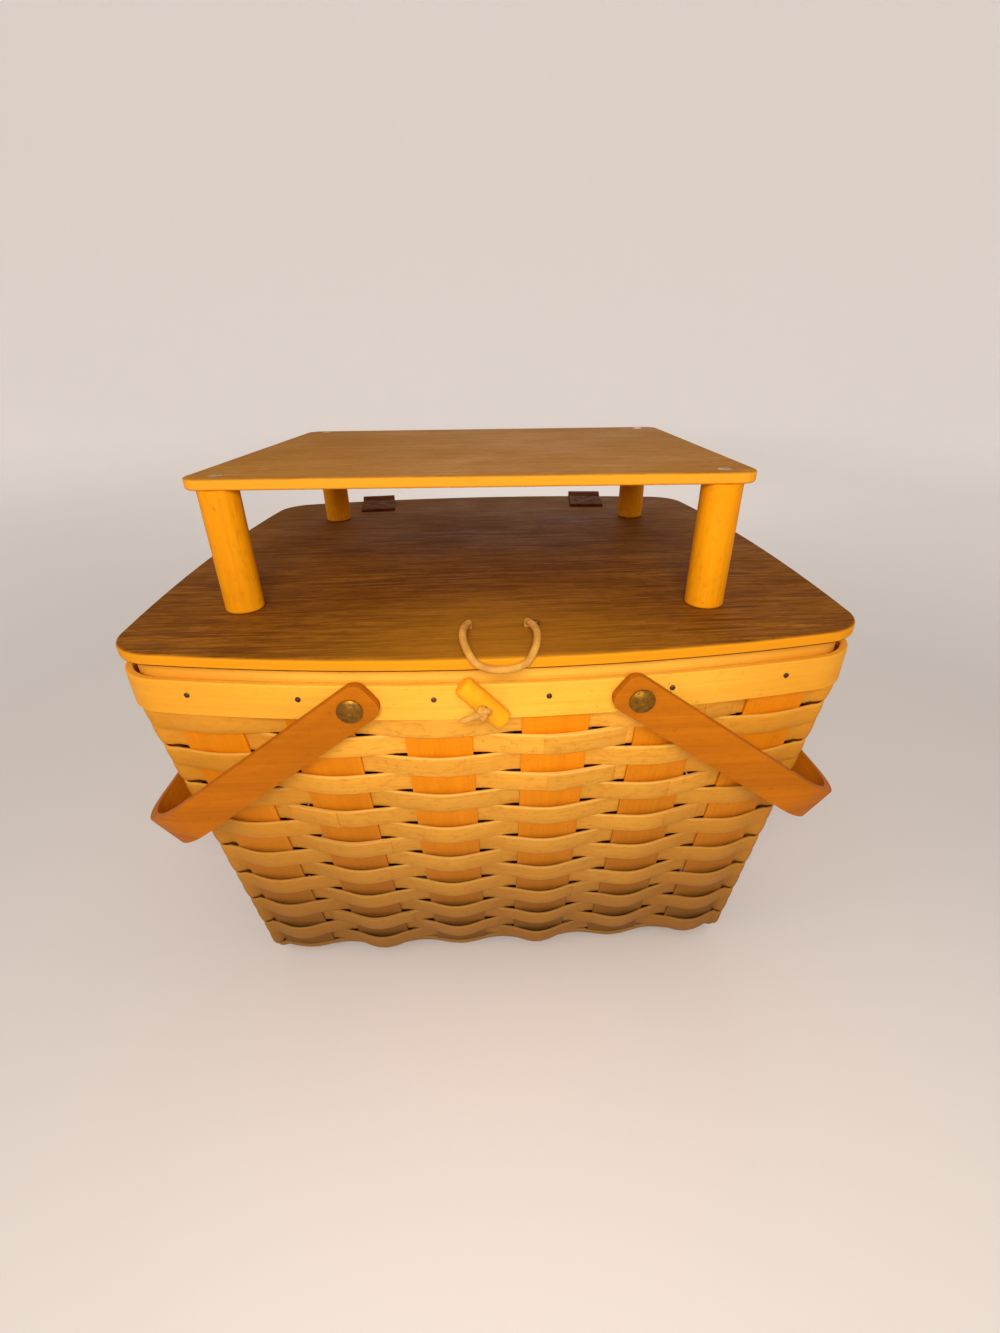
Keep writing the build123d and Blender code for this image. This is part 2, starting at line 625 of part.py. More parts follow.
SHELF_PLANE = Plane(origin=(SHELF_X, SHELF_Y, SHELF_BOTTOM)).rotated((0, 0, SHELF_TURN))
LEG_GRID = GridLocations(LEG_SPACING_X, LEG_SPACING_Y, 2, 2)
LEG_TOPS = [Plane(SHELF_PLANE.location * place) for place in LEG_GRID.locations]
LEG_LENGTH = SHELF_BOTTOM - LID_TOP - SHELF_CLEARANCE


def screw_form(clearance):
    """A countersunk screw from its head down, or its seat with a clearance all round."""
    head = SCREW_HEAD_RADIUS + clearance
    shank = SCREW_SHANK_RADIUS + clearance
    depth = SCREW_LENGTH + clearance
    with BuildPart() as form:
        with BuildSketch(Plane.XZ):
            with BuildLine():
                Polyline((0, 0), (head, 0), (shank, shank - head), (shank, -depth), (0, -depth), close=True)
            make_face()
        revolve(axis=Axis.Z)
    return form.part


SCREW = screw_form(0)
SCREW_SEAT = screw_form(SCREW_CLEARANCE)

with BuildPart() as shelf_board:
    with BuildSketch(SHELF_PLANE):
        RectangleRounded(SHELF_LENGTH, SHELF_DEPTH, SHELF_CORNER_RADIUS)
    extrude(amount=SHELF_THICK)
    fillet(shelf_board.edges().group_by(Axis.Z)[-1], SHELF_EDGE_ROUND)
    fillet(shelf_board.edges().group_by(Axis.Z)[0], SHELF_EDGE_ROUND)
    with Locations(*[leg_top.offset(SHELF_THICK) for leg_top in LEG_TOPS]):
        add(SCREW_SEAT, mode=Mode.SUBTRACT)
finish(shelf_board.part, "shelf_board")

for number, leg_top in enumerate(LEG_TOPS):
    with BuildPart() as shelf_leg:
        with BuildSketch(leg_top):
            Circle(LEG_DIAMETER / 2)
        extrude(amount=-LEG_LENGTH)
        fillet(shelf_leg.edges().group_by(Axis.Z)[0], LEG_EDGE_ROUND)
        with Locations(leg_top.offset(SHELF_THICK)):
            add(SCREW_SEAT, mode=Mode.SUBTRACT)
    finish(shelf_leg.part, f"shelf_leg_{number + 1}")

with BuildPart() as shelf_screws:
    with Locations(*[leg_top.offset(SHELF_THICK - SEAT_GAP) for leg_top in LEG_TOPS]):
        add(SCREW)
finish(shelf_screws.part, "shelf_screws")
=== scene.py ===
from math import asin, cos, floor, pi, radians, sin, tan

import bpy
from mathutils import Euler, Matrix, Vector


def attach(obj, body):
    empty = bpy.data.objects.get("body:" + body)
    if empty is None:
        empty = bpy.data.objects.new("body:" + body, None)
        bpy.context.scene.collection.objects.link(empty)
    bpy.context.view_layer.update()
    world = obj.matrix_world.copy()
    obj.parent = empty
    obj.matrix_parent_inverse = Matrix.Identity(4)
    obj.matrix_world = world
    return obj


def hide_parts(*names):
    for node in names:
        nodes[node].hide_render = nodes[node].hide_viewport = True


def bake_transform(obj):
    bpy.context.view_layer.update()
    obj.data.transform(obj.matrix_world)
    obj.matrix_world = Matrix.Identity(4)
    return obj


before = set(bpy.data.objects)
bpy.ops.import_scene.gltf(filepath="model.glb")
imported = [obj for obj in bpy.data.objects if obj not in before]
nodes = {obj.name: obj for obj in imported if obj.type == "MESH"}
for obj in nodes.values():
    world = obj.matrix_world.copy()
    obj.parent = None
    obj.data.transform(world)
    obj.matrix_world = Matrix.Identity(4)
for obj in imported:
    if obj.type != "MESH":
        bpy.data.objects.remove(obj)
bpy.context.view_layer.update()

# The photograph's view. The camera stands just in front of the basket and looks down on its lid
# through a wide lens, hardly turned or tilted.

VIEW_PLACE = (-0.006823, -0.384356, 0.346788)
VIEW_YAW = 0.039
VIEW_PITCH = 0.487
VIEW_ROLL = -0.015
VIEW_LENS_MM = 15.383
VIEW_SENSOR_MM = 36.0
VIEW_NEAR = 0.01

view_camera = bpy.data.objects.new("view_camera", bpy.data.cameras.new("view_camera"))
bpy.context.scene.collection.objects.link(view_camera)
view_camera.data.lens = VIEW_LENS_MM
view_camera.data.sensor_width = VIEW_SENSOR_MM
view_camera.data.clip_start = VIEW_NEAR
view_camera.location = VIEW_PLACE
level_view = Euler((pi / 2 - VIEW_PITCH, 0, -VIEW_YAW)).to_matrix()
view_camera.rotation_euler = (level_view @ Matrix.Rotation(VIEW_ROLL, 3, "Z")).to_euler()
bpy.context.scene.camera = view_camera
bpy.context.scene.view_settings.view_transform = "Standard"

# The studio: a pale floor that curves up into a wall all round, a small soft lamp over the camera,
# wider ones at both sides and behind, and an even pale sky. Wall and sky look brighter than their
# light is, which keeps the basket's colours.

FLOOR_COLOUR = (0.78, 0.72, 0.68, 1)
FLOOR_RADIUS = 3.0
FLOOR_SIDES = 96
WALL_HEIGHT = 2.6
COVE_RADIUS = 1.1
COVE_STEPS = 14
GLOW_COLOUR = (1, 0.92, 0.86, 1)
GLOW_REACH = (0.6, 2.4)
GLOW_FULL = 0.36
SKY_COLOUR = (1, 0.975, 0.95, 1)
SKY_LIGHT = 0.5
SKY_SEEN = 0.76


def place(tree, kind, *feeds, settings=(), **sockets):
    """Add a node. What is fed to a socket is another node's output, which is linked, or a value."""
    made = tree.nodes.new("ShaderNode" + kind)
    for name, value in dict(settings).items():
        setattr(made, name, value)
    named = {name.replace("_", " "): value for name, value in sockets.items()}
    for name, value in [*enumerate(feeds), *named.items()]:
        if isinstance(value, bpy.types.NodeSocket):
            tree.links.new(value, made.inputs[name])
        elif value is not None:
            made.inputs[name].default_value = value
    return made


def reckon(tree, operation, *values):
    """Arithmetic on values."""
    return place(tree, "Math", *values, settings={"operation": operation}).outputs[0]


def looked_at(tree):
    """1 where the eye, a gloss or a glass sees the surface, and 0 where it only lights others."""
    ways = place(tree, "LightPath").outputs
    seen = reckon(tree, "MAXIMUM", ways["Is Camera Ray"], ways["Is Glossy Ray"])
    return reckon(tree, "MAXIMUM", seen, ways["Is Transmission Ray"])


def new_material(name):
    """A material with only its shader."""
    material = bpy.data.materials.new(name)
    material.use_nodes = True
    return material, material.node_tree, material.node_tree.nodes["Principled BSDF"]


def choose(piece):
    """Make a piece the only one that operators work on."""
    bpy.ops.object.select_all(action="DESELECT")
    bpy.context.view_layer.objects.active = piece
    piece.select_set(True)
    return piece


def added(name):
    """Name the primitive that an operator has just added."""
    piece = choose(bpy.context.object)
    piece.name = name
    return piece


def edit(piece, kind="FACE", wanted=lambda part: True):
    """Open a piece for editing with the faces, edges or vertices that are wanted selected."""
    choose(piece)
    bpy.ops.object.mode_set(mode="EDIT")
    bpy.ops.mesh.select_mode(type=kind)
    bpy.ops.mesh.select_all(action="DESELECT")
    bpy.ops.object.mode_set(mode="OBJECT")
    parts = {"FACE": "polygons", "EDGE": "edges", "VERT": "vertices"}[kind]
    for part in getattr(piece.data, parts):
        part.select = wanted(part)
    bpy.ops.object.mode_set(mode="EDIT")


def leave_edit():
    bpy.ops.object.mode_set(mode="OBJECT")


def faces_up(face):
    return face.normal.z > 0.9


bpy.ops.mesh.primitive_cylinder_add(
    vertices=FLOOR_SIDES, radius=FLOOR_RADIUS, depth=WALL_HEIGHT, location=(0, 0, WALL_HEIGHT / 2)
)
studio = added("studio_floor")
bpy.ops.object.transform_apply()
edit(studio, "FACE", faces_up)
bpy.ops.mesh.delete(type="FACE")
bpy.ops.mesh.select_all(action="SELECT")
bpy.ops.mesh.flip_normals()
leave_edit()
edit(studio, "EDGE", lambda edge: all(studio.data.vertices[v].co.z < 0.01 for v in edge.vertices))
bpy.ops.mesh.bevel(offset=COVE_RADIUS, segments=COVE_STEPS)
leave_edit()
bpy.ops.object.shade_smooth_by_angle(angle=radians(40))
floor_material, tree, shader = new_material("pale_floor")
shader.inputs["Base Color"].default_value = FLOOR_COLOUR
shader.inputs["Roughness"].default_value = 0.75
shader.inputs["Specular IOR Level"].default_value = 0.1
shader.inputs["Emission Color"].default_value = GLOW_COLOUR
floor_spot = place(tree, "TexCoord").outputs["Object"]
away = place(tree, "VectorMath", floor_spot, settings={"operation": "LENGTH"}).outputs["Value"]
far_glow = place(tree, "MapRange", away, *GLOW_REACH, 0.0, GLOW_FULL).outputs[0]
glow = reckon(tree, "MULTIPLY", looked_at(tree), far_glow)
tree.links.new(glow, shader.inputs["Emission Strength"])
studio.data.materials.append(floor_material)


def soft_lamp(name, spot, aim, size, power, colour):
    """A square soft lamp at a spot, turned to the point that it lights."""
    lamp = bpy.data.objects.new(name, bpy.data.lights.new(name, "AREA"))
    bpy.context.scene.collection.objects.link(lamp)
    lamp.data.size = size
    lamp.data.energy = power
    lamp.data.color = colour
    lamp.location = spot
    lamp.rotation_euler = (Vector(aim) - Vector(spot)).to_track_quat("-Z", "Y").to_euler()


soft_lamp("front_lamp", (-0.02, -0.60, 0.50), (0, 0, 0.13), 0.22, 2.9, (1, 0.965, 0.92))
soft_lamp("left_lamp", (-1.5, -0.3, 0.9), (0, 0, 0.1), 0.9, 4, (1, 0.98, 0.95))
soft_lamp("right_lamp", (1.5, 0.0, 0.9), (0, 0, 0.1), 0.9, 2.5, (1, 0.98, 0.95))
soft_lamp("back_lamp", (0.2, 1.5, 1.0), (0, 0, 0.15), 0.9, 5, (1, 0.98, 0.95))

sky = bpy.data.worlds.new("pale_sky")
bpy.context.scene.world = sky
sky.use_nodes = True
tree = sky.node_tree
sky_shader = tree.nodes["Background"]
sky_shader.inputs["Color"].default_value = SKY_COLOUR
sky_level = place(tree, "MapRange", looked_at(tree), 0.0, 1.0, SKY_LIGHT, SKY_SEEN).outputs[0]
tree.links.new(sky_level, sky_shader.inputs["Strength"])

# Splints: 11 broad strips of ash, stained orange. They are woven into each other under the base,
# and each is bent up at both ends into a wall. The grain runs along a strip from rim to rim.

SPLINT_PALE = (0.86, 0.27, 0.002, 1)
SPLINT_DEEP = (0.62, 0.165, 0.001, 1)
FOOT_BROWN = (0.27, 0.115, 0.025, 1)
GRAIN_FINE = 420.0
GRAIN_LONG = 7.0


def shade_map(tree, value, low, high, start=0.0, end=1.0):
    """A value between low and high, brought smoothly to between start and end."""
    return place(
        tree, "MapRange", value, low, high, start, end, settings={"interpolation_type": "SMOOTHSTEP"}
    ).outputs[0]


def mix(tree, share, one, other, how="MIX"):
    """Two colours brought together."""
    mixer = place(tree, "Mix", settings={"data_type": "RGBA", "blend_type": how})
    for socket, value in ((0, share), (6, one), (7, other)):
        if isinstance(value, bpy.types.NodeSocket):
            tree.links.new(value, mixer.inputs[socket])
        else:
            mixer.inputs[socket].default_value = value
    return mixer.outputs[2]


def darkened(colour, share):
    """A deeper shade of a colour."""
    return tuple(channel * share for channel in colour[:3]) + (1,)


def new_group(name, takes, gives):
    """A node group with its sockets. It comes with its own two end nodes."""
    tree = bpy.data.node_groups.new(name, "ShaderNodeTree")
    for label, kind, value in takes:
        socket = tree.interface.new_socket(label, in_out="INPUT", socket_type="NodeSocket" + kind)
        if value is not None:
            socket.default_value = value
    for label, kind in gives:
        tree.interface.new_socket(label, in_out="OUTPUT", socket_type="NodeSocket" + kind)
    return tree, tree.nodes.new("NodeGroupInput"), tree.nodes.new("NodeGroupOutput")


# The grain runs along the axis on which the coordinates change least.
grain, taken, given = new_group(
    "wood_grain",
    [("Vector", "Vector", None), ("Waver", "Float", 0.4)],
    [("Figure", "Float"), ("Fibre", "Float"), ("Pores", "Float")],
)
run_in = taken.outputs["Vector"]
broad = place(grain, "TexNoise", Vector=run_in, Scale=0.32, Detail=5.0, Roughness=0.6)
grain.links.new(taken.outputs["Waver"], broad.inputs["Distortion"])
fine = place(grain, "TexNoise", Vector=run_in, Scale=1.9, Detail=4.0, Roughness=0.7)
pore = place(grain, "TexNoise", Vector=run_in, Scale=4.2, Detail=2.0, Roughness=0.6)
grain.links.new(shade_map(grain, broad.outputs[0], 0.34, 0.68), given.inputs["Figure"])
grain.links.new(shade_map(grain, fine.outputs[0], 0.30, 0.70), given.inputs["Fibre"])
grain.links.new(shade_map(grain, pore.outputs[0], 0.60, 0.74), given.inputs["Pores"])

# Years of handling: broad soft patches of darker and lighter finish, and small specks.
patina, taken, given = new_group(
    "patina",
    [("Vector", "Vector", None), ("Patch Scale", "Float", 22.0)],
    [("Patches", "Float"), ("Specks", "Float")],
)
run_in = taken.outputs["Vector"]
patches = place(patina, "TexNoise", Vector=run_in, Detail=3.0, Roughness=0.55)
patina.links.new(taken.outputs["Patch Scale"], patches.inputs["Scale"])
specks = place(patina, "TexNoise", Vector=run_in, Scale=340.0, Detail=2.0, Roughness=0.5)
patina.links.new(shade_map(patina, patches.outputs[0], 0.36, 0.66), given.inputs["Patches"])
patina.links.new(shade_map(patina, specks.outputs[0], 0.66, 0.75), given.inputs["Specks"])


class Wood:
    """A finished wood. run is how the coordinates are stretched: small along the grain. A strip's
    own map gives metres along it, and its number with the share of its width."""

    DARK = 0.45
    PATCH_STAIN = 0.2
    SPECK_STAIN = 0.25
    FIBRE_ROUGH = 0.14
    PATCH_ROUGH = 0.08
    FIBRE_DEEP = 0.00012

    def __init__(
        self, name, pale, deep, run, turn=(0, 0, 0), strip=0.0, figure=0.55, threads=0.3, pores=0.2,
        flecks=0.25, fleck_run=(190.0, 190.0, 430.0), gloss=0.5, shine=0.1, waver=0.4,
    ):
        self.material, self.tree, self.shader = new_material(name)
        tree = self.tree
        coordinates = place(tree, "TexCoord")
        self.spot = coordinates.outputs["Object"]
        self.axes = place(tree, "SeparateXYZ", self.spot)
        grown_on = coordinates.outputs["UV"] if strip else self.spot
        if strip:
            self.on_strip = place(tree, "SeparateXYZ", grown_on)
            run = (run[0], run[1] * strip, run[2])
        turned = place(tree, "Mapping", Vector=grown_on, Rotation=turn, Scale=run)
        dashed = place(tree, "Mapping", Vector=self.spot, Rotation=turn, Scale=fleck_run)
        grown = place(
            tree, "Group", settings={"node_tree": grain}, Vector=turned.outputs[0], Waver=waver
        )
        fleck = place(
            tree, "TexNoise", Vector=dashed.outputs[0], Scale=1.0, Detail=3.0, Roughness=0.65
        )
        worn = place(tree, "Group", settings={"node_tree": patina}, Vector=self.spot)
        self.fibre = grown.outputs["Fibre"]
        lines = reckon(tree, "MULTIPLY", grown.outputs["Figure"], figure)
        drawn = reckon(tree, "MULTIPLY_ADD", self.fibre, threads, lines)
        self.colour = mix(tree, drawn, pale, deep)
        dark = darkened(deep, self.DARK)
        self.stain(reckon(tree, "MULTIPLY", grown.outputs["Pores"], pores), dark)
        self.stain(shade_map(tree, fleck.outputs[0], 0.48, 0.72, 0.0, flecks), deep)
        self.stain(reckon(tree, "MULTIPLY", worn.outputs["Patches"], self.PATCH_STAIN), deep)
        self.stain(reckon(tree, "MULTIPLY", worn.outputs["Specks"], self.SPECK_STAIN), dark)
        rough = reckon(tree, "MULTIPLY_ADD", self.fibre, self.FIBRE_ROUGH, gloss)
        rough = reckon(tree, "MULTIPLY_ADD", worn.outputs["Patches"], self.PATCH_ROUGH, rough)
        tree.links.new(rough, self.shader.inputs["Roughness"])
        relief = place(tree, "Bump", Strength=0.3, Distance=self.FIBRE_DEEP, Height=self.fibre)
        tree.links.new(relief.outputs[0], self.shader.inputs["Normal"])
        self.shader.inputs["Specular IOR Level"].default_value = shine

    def stain(self, share, colour, how="MIX"):
        """Lay another colour over what is there."""
        self.colour = mix(self.tree, share, self.colour, colour, how)
        self.tree.links.new(self.colour, self.shader.inputs["Base Color"])

    def stain_along(self, axis, low, high, start, end, colour):
        """Stain by the place on an axis: as strongly as start up to low, and as end past high."""
        share = shade_map(self.tree, self.axes.outputs[axis], low, high, start, end)
        self.stain(share, colour)

    def paint_side_shade(self, low, high, share, colour):
        """Paint shade on the basket's two sides, and on its front and back towards its corners."""
        aside = reckon(self.tree, "ABSOLUTE", self.axes.outputs["X"])
        self.stain(shade_map(self.tree, aside, low, high, 0.0, share), colour)

    def distance(self, point):
        """How far a place on the wood is from a point."""
        apart = place(self.tree, "VectorMath", self.spot, point, settings={"operation": "DISTANCE"})
        return apart.outputs["Value"]

    def by_number(self, low, high):
        """Each strip takes its own shade, from darker to lighter."""
        number = reckon(self.tree, "FLOOR", self.on_strip.outputs["Y"])
        chance = place(self.tree, "TexWhiteNoise", W=number, settings={"noise_dimensions": "1D"})
        level = place(self.tree, "MapRange", chance.outputs[0], 0.0, 1.0, low, high).outputs[0]
        grey = place(self.tree, "CombineColor", level, level, level).outputs[0]
        self.stain(1.0, grey, "MULTIPLY")

    def foot_shade(self, share, darker=1.0, reach=0.2):
        """The walls are darker and browner towards the base."""
        self.stain_along("Z", 0.0, reach, share, 0.0, darkened(FOOT_BROWN, darker))


def dress(material, *names):
    """Give CAD nodes or new pieces a material in place of their own."""
    for name in names:
        piece = nodes.get(name) or bpy.data.objects[name]
        piece.data.materials.clear()
        piece.data.materials.append(material)


# The lines up the walls that every strip follows, with the CAD's own sizes. The walls lean and bow,
# turn under the base with a round, and are drawn in between the splints. The long walls belly.

RIM_Z = 0.2058
BASE_HALF = (0.1455, 0.126)
RIM_HALF = (0.1715, 0.1451)
RIM_BOW = (0.0184, 0.0081)
SPLINTS = (6, 5)
BASE_PITCH = (0.05001, 0.0500125)
RIM_PITCH = (0.05541, 0.0540625)
SPLINT_HALF = 0.015875
STRIP_THICK = 0.0012
BASE_ROUND = 0.014
FOOT_SPREAD = 0.002
CORNER_FOOT = 0.007
CORNER_HEAD = 0.023
CORNER_FROM, CORNER_SPAN = 0.2, 0.6
CORNER_STEPS = 12
WALL_BELLY = 0.006
BELLY_HALF = 0.165
BELLY_SAG = 0.7
DRAWN_FOOT = 0.0032
DRAWN_RIM = 0.0005


def within(value, low=0, high=1):
    """A value held between two others."""
    return min(max(value, low), high)


def slow_step(part):
    """From 0 to 1, slowly at both ends."""
    return part * part * (3 - 2 * part)


def arc_radius(half, bow):
    """Radius of the arc that bows out by bow over twice half."""
    return (half**2 + bow**2) / (2 * bow)


def wall_axes(wall):
    """Along a wall, from its left end, and out of it."""
    turn = Matrix.Rotation(wall * pi / 2, 3, "Z")
    return turn @ Vector((1, 0, 0)), turn @ Vector((0, -1, 0))


def splint_rib(wall, number, side):
    """The line up a splint, side metres from its middle: foot, head, and its facing at each."""
    kind = wall % 2
    along, out = wall_axes(wall)
    radius = arc_radius(RIM_HALF[kind], RIM_BOW[kind])
    step = number - (SPLINTS[kind] - 1) / 2
    angle = step * RIM_PITCH[kind] / radius
    facing = along * sin(angle) + out * cos(angle)
    across = along * cos(angle) - out * sin(angle)
    reach = RIM_HALF[1 - kind] + RIM_BOW[kind] - radius * (1 - cos(angle))
    head = along * (radius * sin(angle)) + out * reach + across * side
    foot = along * (step * BASE_PITCH[kind] + side) + out * (BASE_HALF[1 - kind] + FOOT_SPREAD)
    return foot, head, out, facing


def corner_rib(wall, share):
    """A line up the rounded corner after a wall."""
    kind = wall % 2
    along, out = wall_axes(wall)
    next_along, next_out = wall_axes((wall + 1) % 4)
    end = asin(RIM_HALF[kind] / arc_radius(RIM_HALF[kind], RIM_BOW[kind]))
    next_end = asin(RIM_HALF[1 - kind] / arc_radius(RIM_HALF[1 - kind], RIM_BOW[1 - kind]))
    leave = along * cos(end) - out * sin(end)
    arrive = next_along * cos(next_end) + next_out * sin(next_end)
    tangent = CORNER_HEAD * tan((pi / 2 - end - next_end) / 2)
    before, beyond = (1 - share) ** 2, share**2
    facing = (out * (1 - share) + next_out * share).normalized()
    foot = along * (BASE_HALF[kind] + FOOT_SPREAD) + out * (BASE_HALF[1 - kind] + FOOT_SPREAD)
    head = along * RIM_HALF[kind] + out * RIM_HALF[1 - kind]
    foot += (next_along * beyond - along * before) * CORNER_FOOT
    head += (arrive * beyond - leave * before) * tangent
    return foot, head, facing, facing


def rib_spot(rib, up, shift=0.0):
    """A place up a rib, measured along the wall, and moved out of it."""
    foot, head, foot_out, head_out = rib
    share = min(max(up, BASE_ROUND) / RIM_Z, 1)
    out = foot_out.lerp(head_out, share)
    spot = foot.lerp(head, share)
    belly = WALL_BELLY * sin(pi * share**BELLY_SAG) * max(0, 1 - (head.x / BELLY_HALF) ** 2)
    spot += out * (belly * head_out.y**2)
    turned = max(0, (BASE_ROUND - up) / BASE_ROUND)
    middle_round = BASE_ROUND - STRIP_THICK / 2
    spot -= out * (middle_round * (1 - cos(turned)))
    height = up if up > BASE_ROUND else BASE_ROUND - middle_round * sin(turned)
    spot = Vector((spot.x, spot.y, height))
    return spot + (out * cos(turned) - Vector((0, 0, 1)) * sin(turned)) * shift


def drawn_in(up, place_along):
    """How far in the wall is between the splints: more near the base. Each splint is cupped so."""
    deep = DRAWN_FOOT + (DRAWN_RIM - DRAWN_FOOT) * up / RIM_Z
    return deep * sin(pi * place_along) ** 2 * within(up / BASE_ROUND) ** 0.5


# What the sheets of splints and weavers share. A strip's own map keeps clear of the next number.

MAP_MARGIN = 0.001
SHEET_EASE_STEPS = 2


def strip_sheet(name, steps, across, spot, length, number, closed=False):
    """A flat strip bent to its shape. spot gives a station's place at a share of the width."""
    bpy.ops.mesh.primitive_grid_add(
        x_subdivisions=steps, y_subdivisions=across, size=1, calc_uvs=True
    )
    strip = added(name)
    for at in strip.data.uv_layers.active.data:
        at.uv = (at.uv.x * length, number + MAP_MARGIN + at.uv.y * (1 - 2 * MAP_MARGIN))
    for vertex in strip.data.vertices:
        vertex.co = spot(round((vertex.co.x + 0.5) * steps), vertex.co.y + 0.5)
    edit(strip, "VERT")
    if closed:
        bpy.ops.mesh.remove_doubles(threshold=0.00001)
    bpy.ops.mesh.normals_make_consistent(inside=False)
    leave_edit()
    return strip


def finished(piece, kind, **values):
    """Finish a piece with a modifier."""
    modifier = piece.modifiers.new("finish", kind)
    for name, value in values.items():
        setattr(modifier, name, value)
    choose(piece)
    bpy.ops.object.modifier_apply(modifier=modifier.name)


def ease_edges(piece, width, steps=3, sharp=40, smooth=35):
    """Round a piece's sharp edges over."""
    finished(
        piece, "BEVEL", width=width, segments=steps, limit_method="ANGLE", angle_limit=radians(sharp)
    )
    bpy.ops.object.shade_smooth_by_angle(angle=radians(smooth))


def finish_strip(strip, thick, eased):
    """Give a strip its thickness and its eased edges."""
    finished(strip, "SOLIDIFY", thickness=thick, offset=0)
    ease_edges(strip, eased, SHEET_EASE_STEPS, sharp=60, smooth=50)


# Each splint goes down one wall, under the base through the others, and up the far wall.

SPLINT_TOP = RIM_Z + 0.016
SPLINT_LENGTH = 0.7
SPLINT_ACROSS = 8
SPLINT_EASE = 0.0002
UPRIGHT_STEPS = 18
TURN_STEPS = 8
BASE_STEPS = 60
BASE_LIFT = 0.0013
CROSSING_HALF = 0.018
NUMBERS_A_WALL = 20


def base_level(wall, number, place_along, first_level):
    """Height of a splint under the base: it goes over one crossing splint and under the next."""
    kind = wall % 2
    pitch, count = BASE_PITCH[1 - kind], SPLINTS[1 - kind]
    crossing = within(place_along / pitch + (count - 1) / 2, 0, count - 1)
    nearest = floor(crossing)
    level, beyond = ((number + nearest + more + first_level) % 2 for more in (0, 1))
    flat = CROSSING_HALF / pitch
    part = slow_step(within((crossing - nearest - flat) / (1 - 2 * flat)))
    return STRIP_THICK / 2 + BASE_LIFT * (level * (1 - part) + beyond * part)


def splint_sheet(name, wall, number, first_level, count_up):
    """One whole splint, from rim to rim."""
    kind = wall % 2
    far = (wall + 2) % 4
    along, out = wall_axes(wall)
    reach = BASE_HALF[1 - kind] + FOOT_SPREAD - BASE_ROUND + STRIP_THICK / 2
    under = BASE_ROUND * (1 - pi / 2)
    ups = [
        SPLINT_TOP + (BASE_ROUND - SPLINT_TOP) * step / UPRIGHT_STEPS
        for step in range(UPRIGHT_STEPS)
    ]
    ups += [BASE_ROUND + (under - BASE_ROUND) * step / TURN_STEPS for step in range(TURN_STEPS + 1)]
    steps = 2 * len(ups) + BASE_STEPS

    def spot(station, share):
        side = (2 * share - 1) * SPLINT_HALF
        if station < len(ups):
            place_up, rib = ups[station], splint_rib(wall, number, side)
        elif station > steps - len(ups):
            place_up = ups[steps - station]
            rib = splint_rib(far, SPLINTS[kind] - 1 - number, -side)
        else:
            part = (station - len(ups) + 1) / (steps - 2 * len(ups) + 2)
            run = reach * (2 * part - 1)
            step = number - (SPLINTS[kind] - 1) / 2
            flat = along * (step * BASE_PITCH[kind] + side) - out * run
            return Vector((flat.x, flat.y, base_level(wall, number, run, first_level)))
        if place_up < RIM_Z:
            end_of_base = reach if station > len(ups) else -reach
            lifted = base_level(wall, number, end_of_base, first_level) - STRIP_THICK / 2
            spot_up = rib_spot(rib, place_up, -drawn_in(place_up, side / BASE_PITCH[kind]))
            turned = within((BASE_ROUND - place_up) / (BASE_ROUND - under))
            return spot_up + Vector((0, 0, lifted * turned))
        head = rib[1]
        return Vector((head.x, head.y, place_up))

    return strip_sheet(name, steps, SPLINT_ACROSS, spot, SPLINT_LENGTH, count_up)


splint_wood = Wood(
    "splint_wood", SPLINT_PALE, SPLINT_DEEP, (GRAIN_LONG, GRAIN_FINE, GRAIN_FINE),
    strip=2 * SPLINT_HALF, figure=0.3, threads=0.2, flecks=0.2, fleck_run=(430.0, 430.0, 190.0),
)
splint_wood.by_number(0.9, 1.08)
splint_wood.foot_shade(1.0, darker=0.7)
for way, wall, first_level in (("lengthwise", 0, 0), ("crosswise", 3, 1)):
    for number in range(SPLINTS[wall % 2]):
        name = f"splint_{way}_{number + 1}"
        strip = splint_sheet(f"bent_{name}", wall, number, first_level, NUMBERS_A_WALL * wall + number)
        finish_strip(strip, STRIP_THICK, SPLINT_EASE)
        dress(splint_wood.material, strip.name)
        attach(strip, "basket")
        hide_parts(name)

# Weavers: 16 narrow strips of the same wood in a lighter honey shade, and a narrower one that turns
# under the base. Each is wrapped once round the splints, outside one and inside the next.

ROWS = 16
UNDER_ROW = -1
UNDER_SPAN = (0.0004, 0.0083)
ROW_FOOT = 0.0086
ROW_PITCH = (RIM_Z - ROW_FOOT) / ROWS
ROW_GAP = 0.0003
ROW_LENGTH = 1.2
ROW_ACROSS = 4
ROW_EASE = 0.0003
WEAVE_REACH = 0.00135
CROWN_FOOT = 0.0024
CROWN_RIM = 0.0009
CORNER_BULGE = 0.002
ROW_BULGE = 0.0004
WALL_FIRST = (0, 6, 11, 17)
STEPS_EACH = 20
OVER_SHARE = 0.3
WEAVER_WIDE = 0.0124
WEAVER_PALE = (0.90, 0.43, 0.05, 1)
WEAVER_DEEP = (0.64, 0.23, 0.012, 1)
WEAVER_EDGE_HIGHLIGHT = (0.95, 0.58, 0.14, 1)
WEAVER_HIGHLIGHT_FROM = (0.88, 0.95)
WEAVER_SIDE_SHADE = (0.60, 0.22, 0.008, 1)
WEAVER_SHADE_X = (0.04, 0.16)


def weaver_side(row, number):
    """Which side of a splint a row passes: 1 outside, -1 inside."""
    return -1 if (number + row) % 2 == 0 else 1


